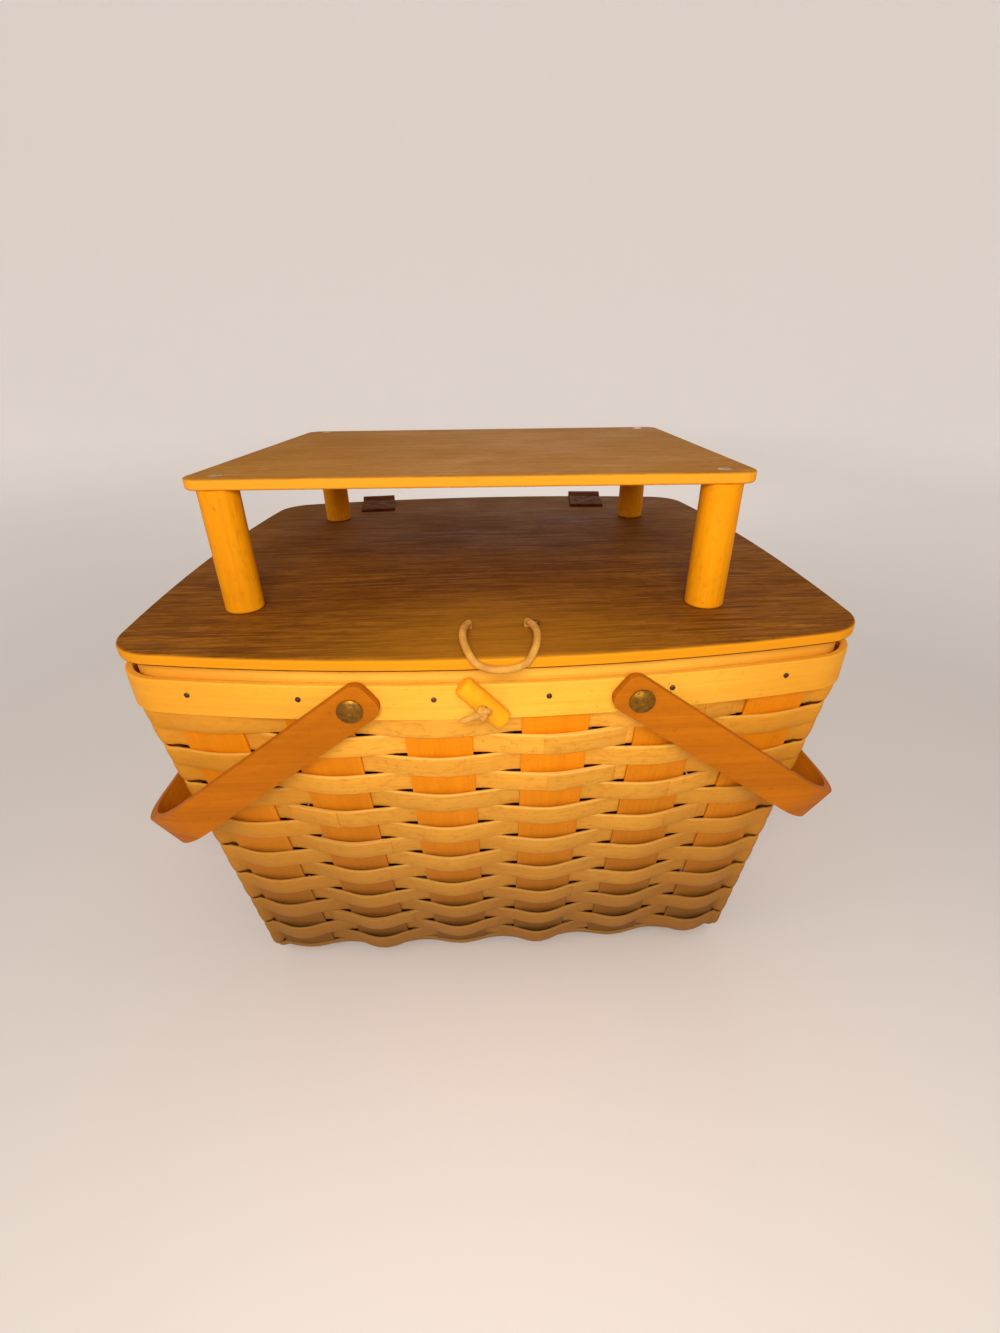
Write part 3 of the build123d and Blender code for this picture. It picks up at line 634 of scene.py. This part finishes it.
def weave_at(row, wall, place_along):
    """A row's rib and shift at a place on a wall, which is counted in splints."""
    nearest = within(round(place_along), 0, SPLINTS[wall % 2] - 1)
    side = weaver_side(row, WALL_FIRST[wall] + nearest)
    away = abs(place_along - nearest)
    rib = splint_rib(wall, place_along, 0)
    if row == UNDER_ROW:
        return rib, WEAVE_REACH * cos(pi * place_along) ** 2, place_along
    crown = CROWN_FOOT + (CROWN_RIM - CROWN_FOOT) * row / (ROWS - 1)
    if away <= OVER_SHARE:
        return rib, side * (WEAVE_REACH + crown * cos(pi / 2 * away / OVER_SHARE)), place_along
    part = (away - OVER_SHARE) / (1 - 2 * OVER_SHARE)
    return rib, side * WEAVE_REACH * (1 - 2 * slow_step(part)), place_along


def weaver_line(row):
    """Stations all round a row."""
    line = []
    for wall in range(4):
        last = SPLINTS[wall % 2] - 1
        steps = round((last + 2 * OVER_SHARE) * STEPS_EACH)
        line += [weave_at(row, wall, step / STEPS_EACH - OVER_SHARE) for step in range(steps + 1)]
        side = weaver_side(row, WALL_FIRST[wall] + last)
        for step in range(CORNER_STEPS + 1):
            part = step / CORNER_STEPS
            rib = corner_rib(wall, CORNER_FROM + CORNER_SPAN * part)
            shift = side * WEAVE_REACH * (1 - 2 * slow_step(part)) + CORNER_BULGE * sin(pi * part)
            if row == UNDER_ROW:
                shift = WEAVE_REACH
            line.append((rib, shift, OVER_SHARE * (1 - 2 * part)))
    return line


def on_row(station, low, high, share):
    """A place on a row at a station, a share of the way from its lower edge to its upper one."""
    rib, shift, place_along = station
    up = low + share * (high - low)
    bulge = ROW_BULGE * (1 - (2 * share - 1) ** 2)
    return rib_spot(rib, up, shift - drawn_in(up, place_along) + (bulge if shift > 0 else -bulge))


def row_span(row):
    """Lower and upper edge of a row, measured up the wall."""
    if row == UNDER_ROW:
        return UNDER_SPAN
    return ROW_FOOT + row * ROW_PITCH, ROW_FOOT + (row + 1) * ROW_PITCH - ROW_GAP


weaver_wood = Wood(
    "weaver_wood", WEAVER_PALE, WEAVER_DEEP, (GRAIN_LONG, GRAIN_FINE, GRAIN_FINE),
    strip=WEAVER_WIDE, figure=0.25, threads=0.25, flecks=0.65,
)
weaver_wood.by_number(0.88, 1.06)
up_the_row = reckon(weaver_wood.tree, "FRACT", weaver_wood.on_strip.outputs["Y"])
# Painted highlight along the upper edge of each row, where its eased edge catches the light.
weaver_wood.stain(shade_map(weaver_wood.tree, up_the_row, *WEAVER_HIGHLIGHT_FROM, 0.0, 0.5), WEAVER_EDGE_HIGHLIGHT)
# Painted shade: the weave darkens towards the basket's sides and corners.
weaver_wood.paint_side_shade(*WEAVER_SHADE_X, 0.6, WEAVER_SIDE_SHADE)
weaver_wood.foot_shade(0.9)

for row in range(UNDER_ROW, ROWS):
    low, high = row_span(row)
    line = weaver_line(row)

    def spot(station, share):
        return on_row(line[station % len(line)], low, high, share)

    name = f"woven_row_{row + 1:02d}"
    strip = strip_sheet(name, len(line), ROW_ACROSS, spot, ROW_LENGTH, row + 1, closed=True)
    finish_strip(strip, STRIP_THICK, ROW_EASE)
    dress(weaver_wood.material, strip.name)
    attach(strip, "basket")
    if row >= 0:
        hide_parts(f"weaver_row_{row + 1:02d}")

# Laps: each weaver's two ends overlap, tucked under splints, and the outer end lies on the row as a
# second layer of the same wood. Each is given by its wall, its row, and where on the wall it starts
# and ends, counted in splints.

LAPS = (
    (0, 14, 2.90, 3.65), (0, 12, 2.95, 3.60), (0, 15, 4.30, 4.65), (0, 11, 4.15, 4.70),
    (0, 9, 4.20, 4.70), (0, 10, 0.45, 0.95), (0, 8, 0.60, 1.40), (0, 4, 3.35, 4.40),
    (0, 2, 0.40, 1.45), (1, 13, 1.40, 2.50), (1, 7, 0.45, 1.50), (1, 3, 2.40, 3.50),
    (2, 12, 1.45, 2.50), (2, 9, 3.40, 4.45), (2, 5, 0.50, 1.45), (3, 10, 2.45, 3.50),
    (3, 6, 1.40, 2.45), (3, 1, 0.45, 1.50),
)
LAP_STEPS = 24
LAP_RISE = 0.00085
LAP_THICK = 0.0006
LAP_INSET = 0.0002
LAP_EASE = 0.00015
LAP_PITCH = 0.05
FIRST_LAP_NUMBER = 40


def choose_all(pieces):
    """Have operators work on several pieces, the first of them active."""
    choose(pieces[0])
    for piece in pieces:
        piece.select_set(True)


laps = []
for wall, row, start, end in LAPS:
    low, high = row_span(row)
    low, high = low + LAP_INSET, high - LAP_INSET
    line = []
    for step in range(LAP_STEPS + 1):
        rib, shift, place_along = weave_at(row, wall, start + (end - start) * step / LAP_STEPS)
        line.append((rib, shift + LAP_RISE, place_along))

    def spot(station, share):
        return on_row(line[station], low, high, share)

    number = FIRST_LAP_NUMBER + len(laps)
    length = LAP_PITCH * (end - start)
    lap = strip_sheet(f"lap_{len(laps)}", LAP_STEPS, ROW_ACROSS, spot, length, number)
    finish_strip(lap, LAP_THICK, LAP_EASE)
    laps.append(lap)
choose_all(laps)
bpy.ops.object.join()
lapped = added("weaver_laps")
dress(weaver_wood.material, lapped.name)
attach(lapped, "basket")

# Rim: a broad bentwood band outside the splint ends and a taller hoop inside, tacked together. The
# wood is a clear yellow, with painted shade on top of the hoop under the lid, a painted highlight
# along the top of the band, and painted shade towards the sides.

RIM_PALE = (0.95, 0.52, 0.055, 1)
RIM_DEEP = (0.76, 0.31, 0.02, 1)
HOOP_SHADE_Z = (0.2286, 0.2292)
HOOP_TOP_SHADE = (0.05, 0.015, 0.003, 1)
BAND_HIGHLIGHT_Z = (0.2234, 0.2240)
BAND_TOP_HIGHLIGHT = (0.98, 0.58, 0.08, 1)
RIM_SHADE_X = (0.06, 0.17)
RIM_SIDE_SHADE = (0.74, 0.26, 0.008, 1)

rim_wood = Wood(
    "rim_wood", RIM_PALE, RIM_DEEP, (5.0, 5.0, 300.0), figure=0.3, waver=0.8, flecks=0.25
)
# Painted shade on top of the hoop, in the lid's shadow.
rim_wood.stain_along("Z", *HOOP_SHADE_Z, 0.0, 0.9, HOOP_TOP_SHADE)
# Painted highlight along the top of the band.
rim_wood.stain_along("Z", *BAND_HIGHLIGHT_Z, 0.0, 0.5, BAND_TOP_HIGHLIGHT)
# Painted shade: the rim darkens towards the basket's sides and corners.
rim_wood.paint_side_shade(*RIM_SHADE_X, 0.6, RIM_SIDE_SHADE)
dress(rim_wood.material, "outer_rim_band", "inner_rim_hoop")

# Tacks: small domed heads of dark steel. One goes through the rim at each splint, a little beside
# its middle, and four hold the hinge straps.

TACK_BRIGHT = (0.16, 0.09, 0.045, 1)
TACK_DULL = (0.045, 0.022, 0.012, 1)
TACK_Z = RIM_Z + 0.0106
BAND_FACE = 0.0045
TACK_HEAD = 0.00125
TACK_RISE = 0.0005
TACK_INSET = 0.35
TACK_DOME = (0.3, 0.12)
TACK_SIDES = 16
STRAP_PLACES = (0.078, 0.112)
TACK_ASIDE = (-0.0015, -0.005, 0, -0.0045, -0.0035, -0.0025)


class Metal:
    """A worn metal: its bright colour on the high places and a dull skin in patches."""

    PATCH_ROUGH = 0.25
    PATCH_SKIN = 0.3
    SPECK_DEEP = 0.0001

    def __init__(self, name, bright, dull, gloss, scale=260.0):
        self.material, tree, shader = new_material(name)
        spot = place(tree, "TexCoord").outputs["Object"]
        worn = place(
            tree, "Group", settings={"node_tree": patina}, Vector=spot, Patch_Scale=scale
        ).outputs
        tree.links.new(mix(tree, worn["Patches"], bright, dull), shader.inputs["Base Color"])
        rough = reckon(tree, "MULTIPLY_ADD", worn["Patches"], self.PATCH_ROUGH, gloss)
        tree.links.new(rough, shader.inputs["Roughness"])
        bare = reckon(tree, "MULTIPLY_ADD", worn["Patches"], -self.PATCH_SKIN, 1.0)
        tree.links.new(bare, shader.inputs["Metallic"])
        relief = place(
            tree, "Bump", Strength=0.3, Distance=self.SPECK_DEEP, Height=worn["Specks"]
        )
        tree.links.new(relief.outputs[0], shader.inputs["Normal"])


tack_steel = Metal("tack_steel", TACK_BRIGHT, TACK_DULL, 0.45)
dress(tack_steel.material, "hinge_tacks")

bpy.ops.mesh.primitive_cylinder_add(vertices=TACK_SIDES, radius=TACK_HEAD, depth=2 * TACK_RISE)
first_tack = added("tack_head")
edit(first_tack, "FACE", faces_up)
for dome in TACK_DOME:
    bpy.ops.mesh.inset(thickness=TACK_INSET * TACK_HEAD)
    bpy.ops.transform.translate(value=(0, 0, dome * TACK_RISE))
leave_edit()
heads = []
for wall in range(4):
    for number in range(SPLINTS[wall % 2]):
        head, facing = splint_rib(wall, number, TACK_ASIDE[number])[1::2]
        if wall == 2 and STRAP_PLACES[0] < abs(head.x) < STRAP_PLACES[1]:
            continue
        tack = bpy.data.objects.new(f"tack_{len(heads)}", first_tack.data.copy())
        bpy.context.scene.collection.objects.link(tack)
        turned = facing.to_track_quat("Z", "Y").to_matrix().to_4x4()
        seat = Vector((head.x, head.y, TACK_Z)) + facing * BAND_FACE
        tack.data.transform(Matrix.Translation(seat) @ turned)
        heads.append(tack)
bpy.data.objects.remove(first_tack)
choose_all(heads)
bpy.ops.object.join()
tacks = added("rim_tack_heads")
bpy.ops.object.shade_smooth()
dress(tack_steel.material, tacks.name)
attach(tacks, "basket")
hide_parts("rim_tacks")

# Lid: a solid board in the outline of the rim, stained brown, with dark streaks along its length.
# Its side face is painted paler, partly rubbed wear and partly painted light where the lamp faces it.
# A painted pool of light lies on its front and painted shade darkens it towards the back, and the
# surface is chipped at the right hole of the loop. A painted shadow line shows where it lies on the
# rim.

LID_PALE = (0.36, 0.128, 0.008, 1)
LID_DEEP = (0.13, 0.038, 0.0025, 1)
LID_FRONT = (0, -0.175, 0.2365)
LID_FRONT_REACH = 0.12
LID_FRONT_LIGHT = (0.60, 0.23, 0.011, 1)
LID_BACK_Y = (0.02, 0.16)
LID_BACK_SHADE = (0.11, 0.035, 0.003, 1)
LID_EDGE_Z = (0.2352, 0.2364)
LID_EDGE_WORN_AND_LIT = (0.86, 0.32, 0.008, 1)
CHIP_PLACE = (0.0192, -0.1322, 0.2365)
CHIP_RAGGED = 0.003
CHIP_OUTER = (0.0044, 0.0062)
CHIP_OUTER_DARK = (0.055, 0.018, 0.004, 1)
CHIP_INNER = (0.0028, 0.0040)
CHIP_INNER_PALE = (0.62, 0.30, 0.06, 1)
LID_FOOT_Z = (0.23002, 0.23012)
LID_GAP_SHADOW_Z = (0.2308, 0.2313)
LID_GAP_SHADOW = (0.03, 0.009, 0.002, 1)

lid_wood = Wood(
    "lid_wood", LID_PALE, LID_DEEP, (26.0, 420.0, 420.0), figure=0.7, threads=0.5, pores=0.95,
    flecks=0.7, fleck_run=(130.0, 520.0, 520.0), gloss=0.6, shine=0.05, waver=2.6,
)
tree = lid_wood.tree
# Painted light: a pool of light on the front of the lid, where the lamp is nearest.
from_lit_front = lid_wood.distance(LID_FRONT)
lid_wood.stain(shade_map(tree, from_lit_front, 0.0, LID_FRONT_REACH, 0.42, 0.0), LID_FRONT_LIGHT)
# Painted shade: the lid darkens towards the back.
lid_wood.stain_along("Y", *LID_BACK_Y, 0.0, 0.45, LID_BACK_SHADE)
# The lid's side face painted paler: partly rubbed wear and partly painted light where the lamp faces
# it.
lid_wood.stain_along("Z", *LID_EDGE_Z, 0.85, 0.0, LID_EDGE_WORN_AND_LIT)
ragged = reckon(tree, "MULTIPLY_ADD", lid_wood.fibre, CHIP_RAGGED, lid_wood.distance(CHIP_PLACE))
lid_wood.stain(shade_map(tree, ragged, *CHIP_OUTER, 0.9, 0.0), CHIP_OUTER_DARK)
lid_wood.stain(shade_map(tree, ragged, *CHIP_INNER, 0.9, 0.0), CHIP_INNER_PALE)
lid_height = lid_wood.axes.outputs["Z"]
# Painted shadow: a dark line along the foot of the lid's edge, in the gap where it lies on the rim.
off_the_underside = shade_map(tree, lid_height, *LID_FOOT_Z)
gap_shadow_share = shade_map(tree, lid_height, *LID_GAP_SHADOW_Z, 0.97, 0.0)
lid_wood.stain(reckon(tree, "MULTIPLY", off_the_underside, gap_shadow_share), LID_GAP_SHADOW)
dress(lid_wood.material, "lid_panel")

# Hinges: dark red-brown leather straps that bend over the back edge of the lid. They are let into
# its top and tacked to the band, and are cut finely across so that they can bend with the lid.

STRAP_CUT = 0.001
STRAP_FOOT_Z = 0.211
STRAP_CUTS_UP = 30
STRAP_FRONT_Y = 0.146
STRAP_CUTS_BACK = 20
STRAP_EASE = 0.0005
HINGE_RUBBED = (0.15, 0.040, 0.006, 1)
HINGE_DEEP = (0.085, 0.020, 0.003, 1)


class Leather:
    """A leather: pebbled, with darker creases and rubbed patches."""

    PEBBLE_EDGE = 0.16
    PATCH_SCALE = 130.0
    CREASE = 0.45
    CREASE_DARK = 0.35
    PATCH_ROUGH = 0.15
    PEBBLE_DEEP = 0.0001

    def __init__(self, name, rubbed, deep, scale, gloss=0.6, shine=0.15):
        self.material, tree, shader = new_material(name)
        spot = place(tree, "TexCoord").outputs["Object"]
        pebbles = place(
            tree, "TexVoronoi", Vector=spot, Scale=scale, settings={"feature": "DISTANCE_TO_EDGE"}
        )
        height = shade_map(tree, pebbles.outputs["Distance"], 0.0, self.PEBBLE_EDGE)
        worn = place(
            tree, "Group", settings={"node_tree": patina}, Vector=spot, Patch_Scale=self.PATCH_SCALE
        ).outputs
        colour = mix(tree, worn["Patches"], rubbed, deep)
        crease = reckon(tree, "MULTIPLY_ADD", height, -self.CREASE, self.CREASE)
        creased = mix(tree, crease, colour, darkened(deep, self.CREASE_DARK))
        tree.links.new(creased, shader.inputs["Base Color"])
        rough = reckon(tree, "MULTIPLY_ADD", worn["Patches"], self.PATCH_ROUGH, gloss)
        tree.links.new(rough, shader.inputs["Roughness"])
        relief = place(tree, "Bump", Strength=0.4, Distance=self.PEBBLE_DEEP, Height=height)
        tree.links.new(relief.outputs[0], shader.inputs["Normal"])
        shader.inputs["Specular IOR Level"].default_value = shine


def worked_copy(node, name):
    """A copy of a CAD piece to work on, its loose triangles merged into one skin."""
    piece = bpy.data.objects.new(name, nodes[node].data.copy())
    bpy.context.scene.collection.objects.link(piece)
    piece.data.name = name
    choose(piece)
    bpy.ops.mesh.customdata_custom_splitnormals_clear()
    edit(piece, "VERT")
    bpy.ops.mesh.remove_doubles(threshold=0.000002)
    bpy.ops.mesh.dissolve_limited(angle_limit=radians(0.6))
    leave_edit()
    return piece


def cut_across(piece, facing, start, cuts):
    """Cut a piece's faces across every millimetre, so that it can bend there."""
    edit(piece)
    for cut in range(cuts):
        bpy.ops.mesh.select_all(action="SELECT")
        bpy.ops.mesh.bisect(plane_co=Vector(facing) * (start + STRAP_CUT * cut), plane_no=facing)
    leave_edit()


hinge_leather = Leather("hinge_leather", HINGE_RUBBED, HINGE_DEEP, 1600.0, shine=0.03)
for side in ("left", "right"):
    strap = worked_copy(f"hinge_strap_{side}", f"leather_hinge_{side}")
    cut_across(strap, (0, 0, 1), STRAP_FOOT_Z, STRAP_CUTS_UP)
    cut_across(strap, (0, 1, 0), STRAP_FRONT_Y, STRAP_CUTS_BACK)
    ease_edges(strap, STRAP_EASE)
    dress(hinge_leather.material, strap.name)
    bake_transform(strap)
    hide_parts(f"hinge_strap_{side}")

# Handles: a strip of reddish wood, steamed and bent to a U, on each side. Its edges are eased, and
# it hangs down by the droop on a rivet at each end.

HANDLE_PALE = (0.54, 0.15, 0.001, 1)
HANDLE_DEEP = (0.34, 0.085, 0.001, 1)
DROOP = radians(35.5)
HANDLE_PIVOT = (0.0642, 0.21455)
HANDLE_SLIM = 0.92
HANDLE_EASE = 0.0008

for side, sign in (("left", -1), ("right", 1)):
    handle_wood = Wood(
        f"handle_wood_{side}", HANDLE_PALE, HANDLE_DEEP, (7.0, 7.0, 330.0),
        turn=(0, -sign * DROOP, 0), figure=0.4,
    )
    handle = worked_copy(f"handle_{side}", f"bent_handle_{side}")
    pivot = Vector((sign * HANDLE_PIVOT[0], 0, HANDLE_PIVOT[1]))
    across = Vector((sin(DROOP) * sign, 0, cos(DROOP)))
    for vertex in handle.data.vertices:
        vertex.co -= across * ((vertex.co - pivot).dot(across) * (1 - HANDLE_SLIM))
    ease_edges(handle, HANDLE_EASE)
    dress(handle_wood.material, handle.name)
    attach(handle, f"handle_{side}")
    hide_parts(f"handle_{side}")

# Rivets and washers: antique brass. Each rivet is domed outside the handle, goes through the band
# and the hoop, and is peened over inside.

RIVET_BRIGHT = (0.30, 0.135, 0.012, 1)
RIVET_DULL = (0.15, 0.062, 0.007, 1)

rivet_brass = Metal("rivet_brass", RIVET_BRIGHT, RIVET_DULL, 0.42, scale=520.0)
dress(rivet_brass.material, "handle_rivets", "rivet_washers")

# Closure loop: one pale leather lace that comes up through two holes in the lid and lies forward
# over its edge, with a knot at each end under the lid.

LACE_RUBBED = (0.76, 0.36, 0.06, 1)
LACE_DEEP = (0.60, 0.26, 0.038, 1)
LACE_THICK = 0.0034
LOOP_ROUTE = [
    (0.0163, -0.1350, 0.2385), (0.0192, -0.1470, 0.2417), (0.0185, -0.1640, 0.2411),
    (0.0120, -0.1752, 0.2343), (-0.0074, -0.1752, 0.2343), (-0.0139, -0.1640, 0.2411),
    (-0.0146, -0.1470, 0.2417), (-0.0117, -0.1350, 0.2385),
]

lace_leather = Leather("lace_leather", LACE_RUBBED, LACE_DEEP, 2600.0, gloss=0.5)


def lace(name, route, thick):
    """A round lace along a route."""
    curve = bpy.data.curves.new(name, "CURVE")
    curve.dimensions = "3D"
    run = curve.splines.new("NURBS")
    run.points.add(len(route) - 1)
    for point, spot in zip(run.points, route):
        point.co = (*spot, 1)
    run.order_u = 3
    run.use_endpoint_u = True
    curve.bevel_depth = thick / 2
    curve.bevel_resolution = 4
    curve.resolution_u = 16
    curve.use_fill_caps = True
    made = bpy.data.objects.new(name, curve)
    bpy.context.scene.collection.objects.link(made)
    return made


loop = lace("leather_loop", LOOP_ROUTE, LACE_THICK)
loop.data.materials.append(lace_leather.material)
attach(loop, "loop")
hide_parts("closure_loop")

# The loop's knots: each end of the lace is tied into a lump that can't pass its hole. A knot's
# bights are counted in thirds of its reach.

LID_UNDER = 0.2300
HOLE_STEP = 0.004
KNOT_REACH = 0.0038
KNOT_LACE = 0.0026
KNOT_BIGHTS = [
    (0.0, -1.0, 0.0), (2.2, -0.1, -1.3), (2.6, 1.5, 0.0), (1.0, 2.0, 1.3), (-0.9, 0.5, 0.0),
    (-1.2, -1.9, -1.3), (0.0, -3.0, 0.0), (1.2, -1.9, 1.3), (0.9, 0.5, 0.0), (-1.0, 2.0, -1.3),
    (-2.6, 1.5, 0.0), (-2.2, -0.1, 1.3), (0.0, -1.0, 0.0),
]


def overhand_knot(name, middle, turn=(0, 0, 0)):
    """A lace's knot: three crossing bights drawn tight into a lump."""
    size = (KNOT_REACH - KNOT_LACE / 2) / 3
    turned = Euler(turn).to_matrix()
    route = [Vector(middle) + turned @ Vector(bight) * size for bight in KNOT_BIGHTS]
    return lace(name, route, KNOT_LACE)


def tied(name, laces, body):
    """Bring the laces of one knot together into a piece."""
    choose_all(laces)
    bpy.ops.object.convert(target="MESH")
    bpy.ops.object.join()
    piece = added(name)
    bpy.ops.object.shade_smooth()
    dress(lace_leather.material, piece.name)
    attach(piece, body)
    return piece


for side, end in (("right", LOOP_ROUTE[0]), ("left", LOOP_ROUTE[-1])):
    x, y, top = end
    middle = (x, y, LID_UNDER - KNOT_REACH)
    hole = [(x, y, top), (x, y, top - HOLE_STEP), (x, y, LID_UNDER), middle]
    through = lace(f"through_{side}", hole, LACE_THICK)
    knot = tied(f"loop_knot_{side}", [overhand_knot(f"knot_{side}", middle), through], "lid")
    if side == "right":
        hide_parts("loop_knots")

# Toggle: a short dowel of yellow wood. It hangs in front of the band on a leather lace that comes
# out through the rim and is knotted in front of it, and the rest of the lace sticks out as a tail.

TOGGLE_PALE = (0.95, 0.40, 0.008, 1)
TOGGLE_DEEP = (0.76, 0.27, 0.005, 1)
TOGGLE_LEAN = radians(43)
TIE_THICK = 0.0029
TIE_KNOT = (-0.0060, -0.18185, 0.21755)
TIE_KNOT_TURN = (radians(80), radians(20), 0)
TIE_BEHIND_Y = (-0.1685, -0.172, -0.177)
TIE_TAIL = ((-0.0015, 0, -0.0005), (-0.005, -0.0002, -0.0022), (-0.009, 0.0006, -0.0040))

toggle_wood = Wood(
    "toggle_wood", TOGGLE_PALE, TOGGLE_DEEP, (260.0, 260.0, 9.0), turn=(0, TOGGLE_LEAN, 0), figure=0.35
)
dress(toggle_wood.material, "toggle_peg")
x, y, z = TIE_KNOT
tie_through = [(x, behind, z) for behind in TIE_BEHIND_Y] + [TIE_KNOT]
tie_end = [(x + right, y + back, z + up) for right, back, up in TIE_TAIL]
tie = tied(
    "toggle_lace",
    [
        overhand_knot("tie_knot", TIE_KNOT, turn=TIE_KNOT_TURN),
        lace("tie_through", tie_through, TIE_THICK),
        lace("tie_end", tie_end, TIE_THICK),
    ],
    "basket",
)
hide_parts("toggle_tie")

# Shelf: a thin board of pale brown wood, its edge rubbed paler. It stands on four yellow dowel
# legs, each held by a countersunk steel screw from above.

SHELF_PALE = (0.46, 0.195, 0.023, 1)
SHELF_DEEP = (0.25, 0.09, 0.008, 1)
SHELF_EDGE_Z = (0.3015, 0.3027)
SHELF_EDGE_PALE = (0.90, 0.37, 0.02, 1)
LEG_PALE = (0.93, 0.355, 0.002, 1)
LEG_DEEP = (0.70, 0.22, 0.001, 1)
SCREW_BRIGHT = (0.45, 0.33, 0.17, 1)
SCREW_DULL = (0.22, 0.14, 0.07, 1)

shelf_wood = Wood(
    "shelf_wood", SHELF_PALE, SHELF_DEEP, (24.0, 460.0, 460.0), figure=0.4, pores=0.5, flecks=0.5,
    fleck_run=(170.0, 450.0, 450.0), gloss=0.6, shine=0.05, waver=1.6,
)
shelf_wood.stain_along("Z", *SHELF_EDGE_Z, 0.85, 0.0, SHELF_EDGE_PALE)
dress(shelf_wood.material, "shelf_board")
leg_wood = Wood(
    "leg_wood", LEG_PALE, LEG_DEEP, (260.0, 260.0, 7.0), figure=0.4, flecks=0.6,
    fleck_run=(420.0, 420.0, 160.0),
)
dress(leg_wood.material, *[f"shelf_leg_{number}" for number in range(1, 5)])
screw_steel = Metal("screw_steel", SCREW_BRIGHT, SCREW_DULL, 0.3)
dress(screw_steel.material, "shelf_screws")
